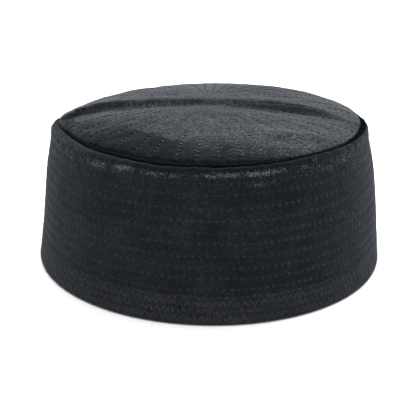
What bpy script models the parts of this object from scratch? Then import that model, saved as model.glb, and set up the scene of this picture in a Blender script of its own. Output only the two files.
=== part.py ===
"""Quilted velvet kufi: a stiff ribbed side band, the hem sewn round its rim, a domed crown and the welt in
the seam between crown and band. Metres, +Z up, front towards -Y, origin under the middle of the rim."""

import math
from typing import NamedTuple

import bpy
from mathutils import Vector

OBJECT_NAME = "quilted_kufi"

# Driving dimensions
WALL_HEIGHT = 0.0750
CROWN_RADIUS = 0.0796
CROWN_EDGE_HEIGHT = 0.0738
APEX_HEIGHT = 0.0840
CROWN_THICKNESS = 0.0016
CLEARANCE = 0.0003
SEGMENTS = 72

# The crown sits a little to the left of the rim's middle, and the wall's middle a little to the right
LEAN = -0.0007
SWAY = 0.0008

# The rolled edge in the seam
WELT_RADIUS = 0.0810
WELT_THICKNESS = 0.0021
WELT_HEIGHT = 0.0741
WELT_SIDES = 7

# The stitched rows that quilt the band
ROW_COUNT = 10
FIRST_ROW = 0.0178
ROW_PITCH = 0.0056
ROW_GROOVE = 0.0004
ROW_TILT = 0.0010

# The hem is a strip folded round the band's lower edge
HEM_HEIGHT = 0.0154
HEM_INNER_HEIGHT = 0.0090
HEM_THICKNESS = 0.0010
HEM_FLOOR = 0.0012
HEM_CORNER = 0.0004
HEM_PROUD = 0.0003

# Thickness of the band where the hem grips it
GRIPPED_THICKNESS = 0.0016

# Shape of the dome
DOME_POWER = 2.15
DOME_RINGS = (0.16, 0.32, 0.46, 0.58, 0.69, 0.79, 0.88, 0.945, 0.98, 1.0)

# The fold that runs from side to side across the crown
FOLD_MIDDLE_Y = 0.0
FOLD_SAG = 0.0042
FOLD_REACH = 0.0700


class WallRow(NamedTuple):
    """One height of the outside of the wall."""

    height: float
    radius: float


class SeamRow(NamedTuple):
    """One bearing round the seam, in degrees from the front towards +X."""

    bearing: float
    rise: float
    fullness: float


class FoldRow(NamedTuple):
    """The fold at one place across: the step up to the cloth behind it, and half its width."""

    across: float
    step: float
    half: float


class Dent(NamedTuple):
    """A soft hollow, or a rise where its depth is negative, stretched along one bearing."""

    x: float
    y: float
    length: float
    width: float
    turn: float
    depth: float


class Finish(NamedTuple):
    """Plain surface values of one piece of velvet."""

    name: str
    color: tuple
    roughness: float


WALL_OUTLINE = (
    WallRow(0.0000, 0.09500),
    WallRow(0.0012, 0.09500),
    WallRow(0.0050, 0.09440),
    WallRow(0.0100, 0.09385),
    WallRow(0.0150, 0.09330),
    WallRow(0.0240, 0.09250),
    WallRow(0.0340, 0.09140),
    WallRow(0.0440, 0.09020),
    WallRow(0.0540, 0.08875),
    WallRow(0.0600, 0.08755),
    WallRow(0.0650, 0.08640),
    WallRow(0.0700, 0.08555),
    WallRow(0.0750, 0.08500),
)

# A smaller fullness exponent gives a steeper edge and a flatter top
SEAM = (
    SeamRow(-180, -0.0022, 0.62),
    SeamRow(-150, -0.0034, 0.54),
    SeamRow(-120, -0.0040, 0.47),
    SeamRow(-102, -0.0034, 0.43),
    SeamRow(-88, -0.0012, 0.46),
    SeamRow(-60, -0.0005, 0.46),
    SeamRow(-30, -0.0002, 0.44),
    SeamRow(0, 0.0002, 0.45),
    SeamRow(30, 0.0003, 0.52),
    SeamRow(60, 0.0006, 0.60),
    SeamRow(88, 0.0006, 0.60),
    SeamRow(110, -0.0008, 0.54),
    SeamRow(150, -0.0012, 0.58),
)

FOLD = (
    FoldRow(-0.0790, 0.0000, 0.0070),
    FoldRow(-0.0700, 0.0028, 0.0066),
    FoldRow(-0.0550, 0.0036, 0.0060),
    FoldRow(-0.0350, 0.0030, 0.0048),
    FoldRow(-0.0150, 0.0019, 0.0040),
    FoldRow(0.0000, 0.0015, 0.0036),
    FoldRow(0.0150, 0.0019, 0.0040),
    FoldRow(0.0400, 0.0030, 0.0058),
    FoldRow(0.0580, 0.0022, 0.0056),
    FoldRow(0.0740, 0.0000, 0.0050),
)

DENTS = (
    Dent(x=-0.0400, y=-0.0500, length=0.012, width=0.006, turn=20, depth=0.0012),
    Dent(x=-0.0560, y=-0.0330, length=0.014, width=0.008, turn=60, depth=0.0010),
    Dent(x=0.0430, y=-0.0460, length=0.015, width=0.004, turn=6, depth=-0.0007),
    Dent(x=0.0400, y=-0.0560, length=0.014, width=0.005, turn=8, depth=0.0006),
)

VELVET = Finish("velvet_band", (0.014, 0.016, 0.019), 0.92)
STITCHED = Finish("velvet_hem", (0.018, 0.020, 0.023), 0.90)
CROWN_VELVET = Finish("velvet_crown", (0.030, 0.033, 0.036), 0.92)
WELT_VELVET = Finish("velvet_welt", (0.008, 0.009, 0.011), 0.95)


def eased(share):
    """A smooth step from 0 to 1."""
    share = min(max(share, 0.0), 1.0)
    return share * share * (3.0 - 2.0 * share)


def between(low, high, share):
    """The value at this share of the way from low to high."""
    return low + (high - low) * share


def wall_radius(height):
    """Radius of the outside of the wall at a height."""
    for below, above in zip(WALL_OUTLINE, WALL_OUTLINE[1:]):
        if height <= above.height:
            share = (height - below.height) / (above.height - below.height)
            return between(below.radius, above.radius, max(share, 0.0))
    return WALL_OUTLINE[-1].radius


def bearing_of(x, y):
    """Degrees from the front towards +X, from -180 to 180."""
    return math.degrees(math.atan2(x, -y))


def seam_at(bearing):
    """The seam's rise and the dome's fullness at a bearing, read smoothly from the table."""
    rows = SEAM + (SEAM[0]._replace(bearing=180),)
    for before, after in zip(rows, rows[1:]):
        if bearing <= after.bearing:
            share = eased((bearing - before.bearing) / (after.bearing - before.bearing))
            rise = between(before.rise, after.rise, share)
            return SeamRow(bearing, rise, between(before.fullness, after.fullness, share))
    return rows[-1]


def fold_at(across):
    """The fold at a place across the crown, read smoothly from the table."""
    for before, after in zip(FOLD, FOLD[1:]):
        if before.across <= across <= after.across:
            share = eased((across - before.across) / (after.across - before.across))
            step = between(before.step, after.step, share)
            return FoldRow(across, step, between(before.half, after.half, share))
    return FOLD[0]


def fold_height(x, y):
    """The fold: a shallow valley, and behind it a crest, along a line that bows towards the back."""
    line = FOLD_MIDDLE_Y + FOLD_SAG * (1.0 - 2.0 * (x / FOLD_REACH) ** 2) / 2.0
    fold = fold_at(x)
    steps = (y - line) / fold.half
    return 0.5 * fold.step * steps * math.exp((1.0 - steps * steps) / 2.0)


def dent_height(dent, x, y):
    """The height that one dent takes away at a place on the crown."""
    turn = math.radians(dent.turn)
    along = (x - dent.x) * math.cos(turn) + (y - dent.y) * math.sin(turn)
    aside = (y - dent.y) * math.cos(turn) - (x - dent.x) * math.sin(turn)
    return -dent.depth * math.exp(-((along / dent.length) ** 2) - (aside / dent.width) ** 2)


def crown_height(x, y):
    """Height of the crown's upper face over a place in plan."""
    seam = seam_at(bearing_of(x, y))
    reach = min(math.hypot(x, y) / CROWN_RADIUS, 1.0)
    edge = CROWN_EDGE_HEIGHT + seam.rise
    dome = (1.0 - reach**DOME_POWER) ** seam.fullness
    relief = fold_height(x, y) + sum(dent_height(dent, x, y) for dent in DENTS)
    return edge + (APEX_HEIGHT - edge) * dome + relief * eased((1.0 - reach) / 0.12)


def lean_at(height):
    """Sideways shift of the hat at a height."""
    return LEAN * height / WALL_HEIGHT


def shape_wall(point):
    """Moves a point of the band, hem or welt: the seam's rise, the rows' tilt, the lean and the sway."""
    bearing = bearing_of(point.x, point.y)
    share = point.z / WALL_HEIGHT
    rise = seam_at(bearing).rise * share**3
    tilt = -ROW_TILT * math.sin(math.radians(bearing)) * math.sin(math.pi * min(share, 1.0)) ** 2
    height = point.z + rise + tilt
    sway = SWAY * math.sin(math.pi * min(share, 1.0))
    return Vector((point.x + lean_at(point.z) + sway, point.y, height))


def shape_crown(point):
    """Lifts a point of the flat disc onto the dome."""
    height = crown_height(point.x, point.y)
    return Vector((point.x + lean_at(height), point.y, height))


def velvet(finish):
    """A plain material for one piece."""
    material = bpy.data.materials.new(finish.name)
    material.use_nodes = True
    shader = material.node_tree.nodes["Principled BSDF"]
    shader.inputs["Base Color"].default_value = (*finish.color, 1.0)
    shader.inputs["Roughness"].default_value = finish.roughness
    shader.inputs["Metallic"].default_value = 0.0
    return material


def turned(name, section, closed, shape, finish, parts):
    """Turns a section of (radius, height) points round the vertical axis, then moves each point by shape."""
    outline = bpy.data.meshes.new(name + "_section")
    last = len(section) if closed else len(section) - 1
    edges = [(index, (index + 1) % len(section)) for index in range(last)]
    outline.from_pydata([(radius, 0.0, height) for radius, height in section], edges, [])
    guide = bpy.data.objects.new(name + "_section", outline)
    bpy.context.scene.collection.objects.link(guide)
    screw = guide.modifiers.new("turn", "SCREW")
    screw.steps = SEGMENTS
    screw.render_steps = SEGMENTS
    screw.use_merge_vertices = True
    screw.merge_threshold = 0.00001
    graph = bpy.context.evaluated_depsgraph_get()
    mesh = bpy.data.meshes.new_from_object(guide.evaluated_get(graph))
    bpy.data.objects.remove(guide)
    for vertex in mesh.vertices:
        vertex.co = shape(vertex.co)
    mesh.name = name
    mesh.materials.append(velvet(finish))
    mesh.shade_smooth()
    piece = bpy.data.objects.new(name, mesh)
    parts.objects.link(piece)
    return piece


def band_section():
    """The side band: over its rounded top, down its ribbed outer face and up its plain inner face."""
    grip = HEM_THICKNESS + CLEARANCE
    lining = grip + GRIPPED_THICKNESS
    lip = wall_radius(WALL_HEIGHT) - 0.00255
    top = [
        (lip, WALL_HEIGHT - 0.0016),
        (lip + 0.0003, WALL_HEIGHT - 0.0005),
        (lip + 0.0010, WALL_HEIGHT),
        (lip + 0.0019, WALL_HEIGHT - 0.0006),
        (lip + 0.0025, WALL_HEIGHT - 0.0022),
    ]
    ribs = []
    for row in reversed(range(ROW_COUNT)):
        crest = FIRST_ROW + (row + 0.5) * ROW_PITCH
        groove = FIRST_ROW + row * ROW_PITCH
        ribs.append((wall_radius(crest) - HEM_PROUD, crest))
        ribs.append((wall_radius(groove) - HEM_PROUD - ROW_GROOVE, groove))
    shoulder = HEM_HEIGHT + 2 * CLEARANCE
    under_hem = [
        (wall_radius(shoulder) - HEM_PROUD, shoulder),
        (wall_radius(HEM_HEIGHT) - grip, HEM_HEIGHT + CLEARANCE),
        (wall_radius(0.010) - grip, 0.010),
        (wall_radius(0.005) - grip, 0.005),
        (wall_radius(0.0) - grip, HEM_FLOOR + CLEARANCE),
    ]
    inner = [(wall_radius(0.0) - lining, HEM_FLOOR + CLEARANCE)]
    inner += [(wall_radius(height) - lining, height) for height in (0.005, 0.010, 0.024, 0.044, 0.060, 0.070)]
    return top + ribs + under_hem + inner


def hem_section():
    """The hem: down its outer leg, across its flat foot, up the short inner leg and back round the fold."""
    inner_face = 2 * HEM_THICKNESS + 2 * CLEARANCE + GRIPPED_THICKNESS
    pocket = inner_face - HEM_THICKNESS
    half = HEM_THICKNESS / 2
    insets = (
        (half, HEM_HEIGHT),
        (0.0, HEM_HEIGHT - HEM_CORNER),
        (0.0, 0.010),
        (0.0, 0.005),
        (0.0, 0.0012),
        (0.0003, 0.0004),
        (0.0009, 0.0),
        (inner_face - 0.0007, 0.0),
        (inner_face, 0.0007),
        (inner_face, 0.005),
        (inner_face, HEM_INNER_HEIGHT - HEM_CORNER),
        (inner_face - half, HEM_INNER_HEIGHT),
        (pocket, HEM_INNER_HEIGHT - HEM_CORNER),
        (pocket, 0.005),
        (pocket, HEM_FLOOR),
        (HEM_THICKNESS, HEM_FLOOR),
        (HEM_THICKNESS, 0.005),
        (HEM_THICKNESS, 0.010),
        (HEM_THICKNESS, HEM_HEIGHT - HEM_CORNER),
    )
    return [(wall_radius(height) - inset, height) for inset, height in insets]


def welt_section():
    """The welt: a small round roll."""
    section = []
    for side in range(WELT_SIDES):
        angle = math.pi / 2 - 2 * math.pi * side / WELT_SIDES
        section.append(
            (
                WELT_RADIUS + WELT_THICKNESS / 2 * math.cos(angle),
                WELT_HEIGHT + WELT_THICKNESS / 2 * math.sin(angle),
            )
        )
    return section


def crown_section():
    """The crown before it is domed: a flat radius from its middle to its edge."""
    return [(0.0, 0.0)] + [(reach * CROWN_RADIUS, 0.0) for reach in DOME_RINGS]


def make_side_band(parts):
    """The stiff quilted wall."""
    return turned("side_band", band_section(), True, shape_wall, VELVET, parts)


def make_sewn_hem(parts):
    """The strip sewn round the rim, whose flat foot rests on the table."""
    return turned("sewn_hem", hem_section(), True, shape_wall, STITCHED, parts)


def make_seam_welt(parts):
    """The rolled edge between crown and band."""
    return turned("seam_welt", welt_section(), True, shape_wall, WELT_VELVET, parts)


def make_crown_panel(parts):
    """The domed top, a shell of velvet."""
    crown = turned("crown_panel", crown_section(), False, shape_crown, CROWN_VELVET, parts)
    shell = crown.modifiers.new("cloth", "SOLIDIFY")
    shell.thickness = CROWN_THICKNESS
    shell.offset = -1.0
    return crown


def main():
    """Clears the scene and builds the four pieces."""
    for old in list(bpy.data.objects):
        bpy.data.objects.remove(old)
    parts = bpy.data.collections.new(OBJECT_NAME)
    bpy.context.scene.collection.children.link(parts)
    make_side_band(parts)
    make_sewn_hem(parts)
    make_crown_panel(parts)
    make_seam_welt(parts)


main()
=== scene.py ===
"""The finished look of a quilted black velvet kufi, over the plain solids of its frame.

Lengths are metres, +Z is up and the front is towards -Y. A bearing is in radians, from the front towards +X.
"""

import logging
import math
from abc import ABC, abstractmethod
from dataclasses import dataclass
from enum import Enum, IntEnum
from typing import NamedTuple

import bpy
import numpy as np
from mathutils import Matrix, Vector


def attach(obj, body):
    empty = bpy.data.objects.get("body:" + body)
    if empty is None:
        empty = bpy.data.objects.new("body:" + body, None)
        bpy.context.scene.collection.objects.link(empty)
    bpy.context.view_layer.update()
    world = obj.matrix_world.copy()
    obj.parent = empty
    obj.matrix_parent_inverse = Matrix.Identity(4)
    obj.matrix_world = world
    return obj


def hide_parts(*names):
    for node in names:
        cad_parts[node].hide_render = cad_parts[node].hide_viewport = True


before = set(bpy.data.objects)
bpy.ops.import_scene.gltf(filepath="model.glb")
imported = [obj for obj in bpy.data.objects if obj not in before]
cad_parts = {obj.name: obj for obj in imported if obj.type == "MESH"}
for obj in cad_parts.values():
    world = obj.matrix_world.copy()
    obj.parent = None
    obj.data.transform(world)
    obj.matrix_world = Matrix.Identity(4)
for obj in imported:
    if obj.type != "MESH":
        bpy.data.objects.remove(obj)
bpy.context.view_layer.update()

LOG = logging.getLogger("kufi")
BODY = "root"
TURN = 2.0 * math.pi
DEGREES = 360.0
USUAL_RADIUS = 0.090


class WallRow(NamedTuple):
    """The radius of the outside of the wall at one height."""

    height: float
    radius: float


class SeamRow(NamedTuple):
    """The seam's rise, the dome's fullness, the crown's spread, the lip's drop and tuck, at one bearing."""

    bearing: float
    rise: float
    fullness: float
    spread: float
    drop: float
    tuck: float


class FoldRow(NamedTuple):
    """The crown's fold at one place across: how far back it lies, its step up, and half its width."""

    across: float
    back: float
    step: float
    half: float


class StitchRow(NamedTuple):
    """One stitched row round the band: its height and how far its line wanders."""

    height: float
    wander: float


class RubAndHighlight(NamedTuple):
    """A lighter streak on the band, partly rubbed pile and partly painted highlight: its middle, its reach to
    each side in degrees and up, and its strength.
    """

    bearing: float
    height: float
    reach: float
    rise: float
    amount: float

    def at(self, turn: np.ndarray, level: np.ndarray) -> np.ndarray:
        """Returns the streak's strength at each bearing, in degrees, and height."""
        aside = (turn - self.bearing + DEGREES / 2.0) % DEGREES - DEGREES / 2.0
        return self.amount * np.exp(-((aside / self.reach) ** 2) - ((level - self.height) / self.rise) ** 2)


class WeltRow(NamedTuple):
    """How far the welt is widened, pushed out and lifted at one bearing, in degrees."""

    bearing: float
    width: float
    shift: float
    lift: float


class Patch(NamedTuple):
    """A soft patch of the crown, stretched along one bearing, that is brushed, dented or shaded."""

    x: float
    y: float
    length: float
    width: float
    turn: float
    amount: float

    def at(self, x: np.ndarray, y: np.ndarray) -> np.ndarray:
        """Reads the patch.

        Args:
            x: Place across.
            y: Place from front to back.

        Returns:
            Its amount at each place, which fades outwards.
        """
        turn = math.radians(self.turn)
        along = (x - self.x) * math.cos(turn) + (y - self.y) * math.sin(turn)
        aside = (y - self.y) * math.cos(turn) - (x - self.x) * math.sin(turn)
        return self.amount * np.exp(-((along / self.length) ** 2) - (aside / self.width) ** 2)


class Hair(NamedTuple):
    """A hair of lint on the band, from one bearing and height to another, bowed to one side."""

    bearing: float
    height: float
    far_bearing: float
    far_height: float
    bow: float


class Wave(NamedTuple):
    """A wave in a stitched row: how many go round, how it moves on from row to row, and its size."""

    count: float
    phase: float
    size: float


class Fade(NamedTuple):
    """A smooth step from 0 to 1, by where it starts and how far it takes."""

    start: float
    reach: float

    def at(self, value: np.ndarray) -> np.ndarray:
        """Returns the step's share at each value."""
        return eased((value - self.start) / self.reach)


class Ridge(NamedTuple):
    """A soft ridge, by its middle, how far it reaches to each side, and its height."""

    middle: float
    reach: float
    height: float = 1.0

    def at(self, value: np.ndarray) -> np.ndarray:
        """Returns the ridge's height at each value."""
        return self.height * np.exp(-(((value - self.middle) / self.reach) ** 2))


WALL_OUTLINE = (
    WallRow(0.0000, 0.09500),
    WallRow(0.0012, 0.09500),
    WallRow(0.0050, 0.09440),
    WallRow(0.0100, 0.09385),
    WallRow(0.0150, 0.09330),
    WallRow(0.0240, 0.09250),
    WallRow(0.0340, 0.09140),
    WallRow(0.0440, 0.09020),
    WallRow(0.0540, 0.08875),
    WallRow(0.0600, 0.08755),
    WallRow(0.0650, 0.08640),
    WallRow(0.0700, 0.08555),
    WallRow(0.0750, 0.08500),
)

# A smaller fullness gives a steeper edge and a flatter top
SEAM = (
    SeamRow(-180, -0.0010, 0.70, 0.0012, -0.0010, 0.0000),
    SeamRow(-150, -0.0024, 0.66, 0.0004, -0.0012, 0.0000),
    SeamRow(-120, -0.0030, 0.60, 0.0006, -0.0018, 0.0000),
    SeamRow(-102, -0.0028, 0.54, 0.0014, -0.0022, 0.0000),
    SeamRow(-91, -0.0012, 0.52, 0.0022, -0.0015, 0.0003),
    SeamRow(-80, -0.0004, 0.50, 0.0008, -0.0007, 0.0020),
    SeamRow(-60, -0.0003, 0.46, -0.0026, -0.0003, 0.0040),
    SeamRow(-44, -0.0002, 0.45, -0.0020, -0.0001, 0.0028),
    SeamRow(-30, -0.0002, 0.44, -0.0019, 0.0000, 0.0022),
    SeamRow(-14, -0.0001, 0.44, -0.0003, 0.0000, 0.0005),
    SeamRow(0, 0.0002, 0.45, 0.0000, 0.0000, 0.0000),
    SeamRow(18, 0.0007, 0.48, 0.0003, 0.0000, 0.0000),
    SeamRow(35, 0.0014, 0.54, 0.0017, 0.0000, 0.0000),
    SeamRow(50, 0.0010, 0.58, 0.0024, 0.0000, 0.0000),
    SeamRow(65, 0.0006, 0.61, 0.0025, 0.0000, 0.0000),
    SeamRow(80, 0.0007, 0.62, 0.0024, -0.0003, 0.0000),
    SeamRow(100, 0.0006, 0.62, 0.0036, -0.0018, 0.0000),
    SeamRow(120, 0.0005, 0.64, 0.0038, -0.0020, 0.0000),
    SeamRow(150, 0.0002, 0.74, 0.0030, -0.0014, 0.0000),
)

FOLD = (
    FoldRow(-0.0790, -0.0085, 0.0000, 0.0060),
    FoldRow(-0.0700, -0.0050, 0.0024, 0.0056),
    FoldRow(-0.0550, -0.0020, 0.0034, 0.0050),
    FoldRow(-0.0350, -0.0016, 0.0030, 0.0044),
    FoldRow(-0.0150, -0.0009, 0.0022, 0.0034),
    FoldRow(0.0000, -0.0006, 0.0019, 0.0031),
    FoldRow(0.0150, -0.0018, 0.0022, 0.0042),
    FoldRow(0.0400, -0.0053, 0.0030, 0.0062),
    FoldRow(0.0580, -0.0078, 0.0021, 0.0048),
    FoldRow(0.0740, -0.0110, 0.0000, 0.0040),
)

# Hollows in the crown, and rises where the amount is above nought
DENTS = (
    Patch(-0.0400, -0.0500, 0.012, 0.006, 20, -0.0006),
    Patch(-0.0560, -0.0330, 0.014, 0.008, 60, -0.0004),
    Patch(0.0430, -0.0460, 0.015, 0.004, 6, 0.0007),
    Patch(0.0400, -0.0560, 0.014, 0.005, 8, -0.0006),
    Patch(0.0300, 0.0300, 0.030, 0.026, 0, 0.0008),
)

BAND_ROWS = (
    StitchRow(0.0178, 0.00025),
    StitchRow(0.0233, 0.00035),
    StitchRow(0.0286, 0.00030),
    StitchRow(0.0342, 0.00040),
    StitchRow(0.0400, 0.00030),
    StitchRow(0.0452, 0.00040),
    StitchRow(0.0513, 0.00035),
    StitchRow(0.0568, 0.00030),
    StitchRow(0.0628, 0.00040),
    StitchRow(0.0680, 0.00030),
)

# Lighter streaks on the shoulder: partly rubbed pile, partly painted highlight where the rolled edge catches
# the light
SHOULDER_RUBS_AND_HIGHLIGHTS = (
    RubAndHighlight(-95, 0.0705, 26, 0.0020, 0.50),
    RubAndHighlight(-72, 0.0742, 22, 0.0018, 0.50),
    RubAndHighlight(-58, 0.0695, 16, 0.0034, 0.48),
    RubAndHighlight(-38, 0.0708, 9, 0.0022, 1.00),
    RubAndHighlight(-28, 0.0720, 6, 0.0016, 1.00),
    RubAndHighlight(-15, 0.0713, 12, 0.0015, 1.00),
    RubAndHighlight(3, 0.0721, 12, 0.0015, 1.00),
    RubAndHighlight(17, 0.0718, 9, 0.0015, 1.00),
    RubAndHighlight(30, 0.0712, 8, 0.0018, 0.75),
    RubAndHighlight(36, 0.0738, 1.3, 0.0008, 1.00),
    RubAndHighlight(16, 0.0668, 6, 0.0011, 0.85),
    RubAndHighlight(46, 0.0695, 17, 0.0040, 0.60),
    RubAndHighlight(72, 0.0690, 18, 0.0045, 0.50),
    RubAndHighlight(150, 0.0710, 50, 0.0016, 0.40),
)

# The welt is rolled out over the band's lip at the right, and lies under the crown's edge behind
WELT_COURSE = (
    WeltRow(-180, -0.0003, -0.0008, -0.0003),
    WeltRow(-120, -0.0003, -0.0010, -0.0002),
    WeltRow(-96, -0.0002, -0.0008, 0.0000),
    WeltRow(-75, 0.0001, 0.0000, 0.0004),
    WeltRow(-40, 0.0003, 0.0000, 0.0009),
    WeltRow(0, 0.0005, 0.0000, 0.0013),
    WeltRow(35, -0.0001, 0.0002, 0.0004),
    WeltRow(62, 0.0000, 0.0006, 0.0004),
    WeltRow(80, 0.0003, 0.0012, 0.0008),
    WeltRow(94, 0.0003, 0.0012, 0.0010),
    WeltRow(112, -0.0003, -0.0006, -0.0003),
    WeltRow(150, -0.0003, -0.0008, -0.0004),
)

# Patches whose pile is brushed up, or down where the amount is negative; they also hold painted light and
# shade, darker at the front left, the fold's left end and the back right, lighter at the front right and back
# middle
CROWN_NAP_AND_SHADE = (
    Patch(0.044, -0.038, 0.036, 0.022, 0, 0.20),
    Patch(0.045, -0.012, 0.040, 0.014, 0, -0.15),
    Patch(0.000, 0.045, 0.026, 0.020, 0, 0.30),
    Patch(0.002, -0.052, 0.040, 0.012, 0, 0.12),
    Patch(-0.050, -0.053, 0.034, 0.012, -38, -1.20),
    Patch(-0.014, -0.068, 0.034, 0.008, 0, -0.35),
    Patch(-0.074, -0.009, 0.010, 0.010, 0, -0.90),
    Patch(0.050, 0.050, 0.034, 0.016, 20, -0.80),
    Patch(-0.040, 0.055, 0.050, 0.018, 0, -0.15),
)

# Parts of the crown in painted shade, which take the darker shaded velvet
CROWN_SHADE = (
    Patch(-0.044, -0.0565, 0.033, 0.0150, -22, 1.0),
    Patch(-0.0760, -0.0150, 0.0170, 0.0052, -75, 1.0),
)

LINT = (
    Hair(-25.3, 0.0645, -22.8, 0.0511, 0.0010),
    Hair(-21.2, 0.0552, -22.8, 0.0509, -0.0003),
    Hair(-22.8, 0.0511, -28.1, 0.0399, -0.0012),
)


@dataclass(frozen=True)
class Course:
    """Values that pass smoothly through the rows of a short table."""

    places: tuple[float, ...]
    values: tuple[float, ...]
    period: float = 0.0

    def at(self, where: np.ndarray) -> np.ndarray:
        """Reads the course.

        Args:
            where: The places to read.

        Returns:
            The value at each place.
        """
        places, values = np.array(self.places), np.array(self.values)
        if self.period:
            where = (where - places[0]) % self.period + places[0]
            places = np.concatenate((places[-2:] - self.period, places, places[:3] + self.period))
            values = np.concatenate((values[-2:], values, values[:3]))
        slopes = np.gradient(values, places)
        row = np.clip(np.searchsorted(places, where, side="right") - 1, 0, len(places) - 2)
        span = places[row + 1] - places[row]
        share = np.clip((where - places[row]) / span, 0.0, 1.0)
        rest = 1.0 - share
        near = (1.0 + 2.0 * share) * rest**2 * values[row] + share * rest**2 * span * slopes[row]
        far = share**2 * (3.0 - 2.0 * share) * values[row + 1]
        return near + far - share**2 * rest * span * slopes[row + 1]


def course(rows: tuple[tuple, ...], column: str, period: float = 0.0) -> Course:
    """Runs a course through one named column of a table, whose first column holds the places."""
    return Course(tuple(row[0] for row in rows), tuple(getattr(row, column) for row in rows), period)


@dataclass(frozen=True)
class Ripples:
    """Soft uneven waves over a surface, the same each run."""

    seed: int
    shortest: float
    longest: float
    waves: int = 18

    def at(self, points: np.ndarray) -> np.ndarray:
        """Reads the waves.

        Args:
            points: Where they are read, one row each.

        Returns:
            A height from about -1 to 1 at each place.
        """
        draw = np.random.RandomState(self.seed)
        total = np.zeros(len(points))
        for _ in range(self.waves):
            length, phase = draw.uniform(self.shortest, self.longest), draw.uniform(0.0, TURN)
            total += np.sin(TURN * (points @ unit(draw.normal(0.0, 1.0, 3))) / length + phase)
        return total / math.sqrt(2.0 * self.waves)


def unit(arrows: np.ndarray) -> np.ndarray:
    """Returns the vectors at a length of one."""
    return arrows / np.maximum(np.linalg.norm(arrows, axis=-1, keepdims=True), 1e-12)


def eased(share: np.ndarray) -> np.ndarray:
    """Returns a smooth step from 0 to 1 as the share passes from 0 to 1."""
    share = np.clip(share, 0.0, 1.0)
    return share * share * (3.0 - 2.0 * share)


@dataclass(frozen=True)
class HatForm:
    """The hat's own shape before any quilting: its tapered wall, its uneven seam and its domed crown."""

    wall_height: float = 0.0750
    crown_radius: float = 0.0796
    crown_edge: float = 0.0738
    apex: float = 0.0842
    dome_power: float = 2.15
    lean: float = -0.0007
    sway: float = 0.0008
    row_tilt: float = 0.0010
    drop_inward: float = 0.3
    rise_power: float = 3.0
    drop_power: float = 8.0
    fold_fade: float = 0.0085
    steep_step: float = 0.0030
    steep_middle: float = 0.15
    steep_reach: float = 0.9
    rim_fade: float = 0.12
    wall: Course = course(WALL_OUTLINE, "radius")
    rise: Course = course(SEAM, "rise", DEGREES)
    fullness: Course = course(SEAM, "fullness", DEGREES)
    spread: Course = course(SEAM, "spread", DEGREES)
    drop: Course = course(SEAM, "drop", DEGREES)
    tuck: Course = course(SEAM, "tuck", DEGREES)
    fold_back: Course = course(FOLD, "back")
    fold_step: Course = course(FOLD, "step")
    fold_half: Course = course(FOLD, "half")

    def settled(self, bearing: np.ndarray, radius: np.ndarray, height: np.ndarray) -> np.ndarray:
        """Places points of the wall, with the seam's rise, the rows' tilt and the hat's lean.

        Args:
            bearing: Bearing of each point.
            radius: Distance from the middle.
            height: Height in the straight hat.

        Returns:
            The points, one row each.
        """
        share = height / self.wall_height
        drop = self.drop.at(np.degrees(bearing)) * share**self.drop_power
        lift = self.rise.at(np.degrees(bearing)) * share**self.rise_power + drop
        tilt = -self.row_tilt * np.sin(bearing) * np.sin(math.pi * np.minimum(share, 1.0)) ** 2
        radius = radius + self.drop_inward * drop
        x = radius * np.sin(bearing) + self.lean * share + self.sway * np.sin(math.pi * share)
        return np.stack((x, -radius * np.cos(bearing), height + lift + tilt), axis=-1)

    def folded(self, x: np.ndarray, y: np.ndarray) -> np.ndarray:
        """Works out the fold across the crown: a shallow valley, and a crest behind it.

        Args:
            x: Place across.
            y: Place from front to back.

        Returns:
            The height that the fold adds.
        """
        half = self.fold_half.at(x)
        away = y - self.fold_back.at(x)
        face = np.sin(math.pi / 2.0 * np.clip(away / half, -1.0, 1.0))
        fade = np.exp(-((np.maximum(np.abs(away) - half, 0.0) / self.fold_fade) ** 2))
        return np.where(self.has_fold(x), 0.5 * self.fold_step.at(x) * face * fade, 0.0)

    def has_fold(self, x: np.ndarray) -> np.ndarray:
        """Returns whether the fold reaches each place across."""
        return (x > FOLD[0].across) & (x < FOLD[-1].across)

    def on_fold(self, x: np.ndarray, y: np.ndarray) -> np.ndarray:
        """Works out how steep the fold's face is.

        Args:
            x: Place across.
            y: Place from front to back.

        Returns:
            A number near 1 on the steepest cloth and 0 away from the fold.
        """
        away = (y - self.fold_back.at(x)) / self.fold_half.at(x)
        face = np.exp(-(((away - self.steep_middle) / self.steep_reach) ** 4))
        return np.where(self.has_fold(x), self.fold_step.at(x) / self.steep_step * face, 0.0)

    def dented(self, x: np.ndarray, y: np.ndarray) -> np.ndarray:
        """Returns the height that the dents add at each place, mostly below nought."""
        return sum(dent.at(x, y) for dent in DENTS)

    def domed(self, bearing: np.ndarray, reach: np.ndarray, inward: np.ndarray | float = 0.0) -> np.ndarray:
        """Places points of the crown's cloth.

        Args:
            bearing: Bearing of each point.
            reach: Share of the way from the middle to the edge.
            inward: How far inside the cloth's upper face each point lies.

        Returns:
            The points, one row each.
        """
        reach = np.clip(reach, 0.0, 1.0)
        radius = (self.crown_radius + self.spread.at(np.degrees(bearing))) * reach
        x, y = radius * np.sin(bearing), -radius * np.cos(bearing)
        edge = self.crown_edge + self.rise.at(np.degrees(bearing))
        dome = (1.0 - reach**self.dome_power) ** self.fullness.at(np.degrees(bearing))
        relief = (self.folded(x, y) + self.dented(x, y)) * eased((1.0 - reach) / self.rim_fade)
        height = edge + (self.apex - edge - inward) * dome + relief
        narrow = 1.0 - inward / self.crown_radius
        return np.stack((x * narrow + self.lean * height / self.wall_height, y * narrow, height), axis=-1)


class Seats(NamedTuple):
    """Where copies of a small thing lie on a face: their middles, directions, upward sides and lengths."""

    middles: np.ndarray
    along: np.ndarray
    out: np.ndarray
    lengths: np.ndarray

    def lifted(self, lift: np.ndarray | float, stretch: float = 1.0) -> "Seats":
        """Returns the seats lifted off their face, and made so many times as long."""
        middles = self.middles + self.out * np.reshape(lift, (-1, 1))
        return self._replace(middles=middles, lengths=self.lengths * stretch)


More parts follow.
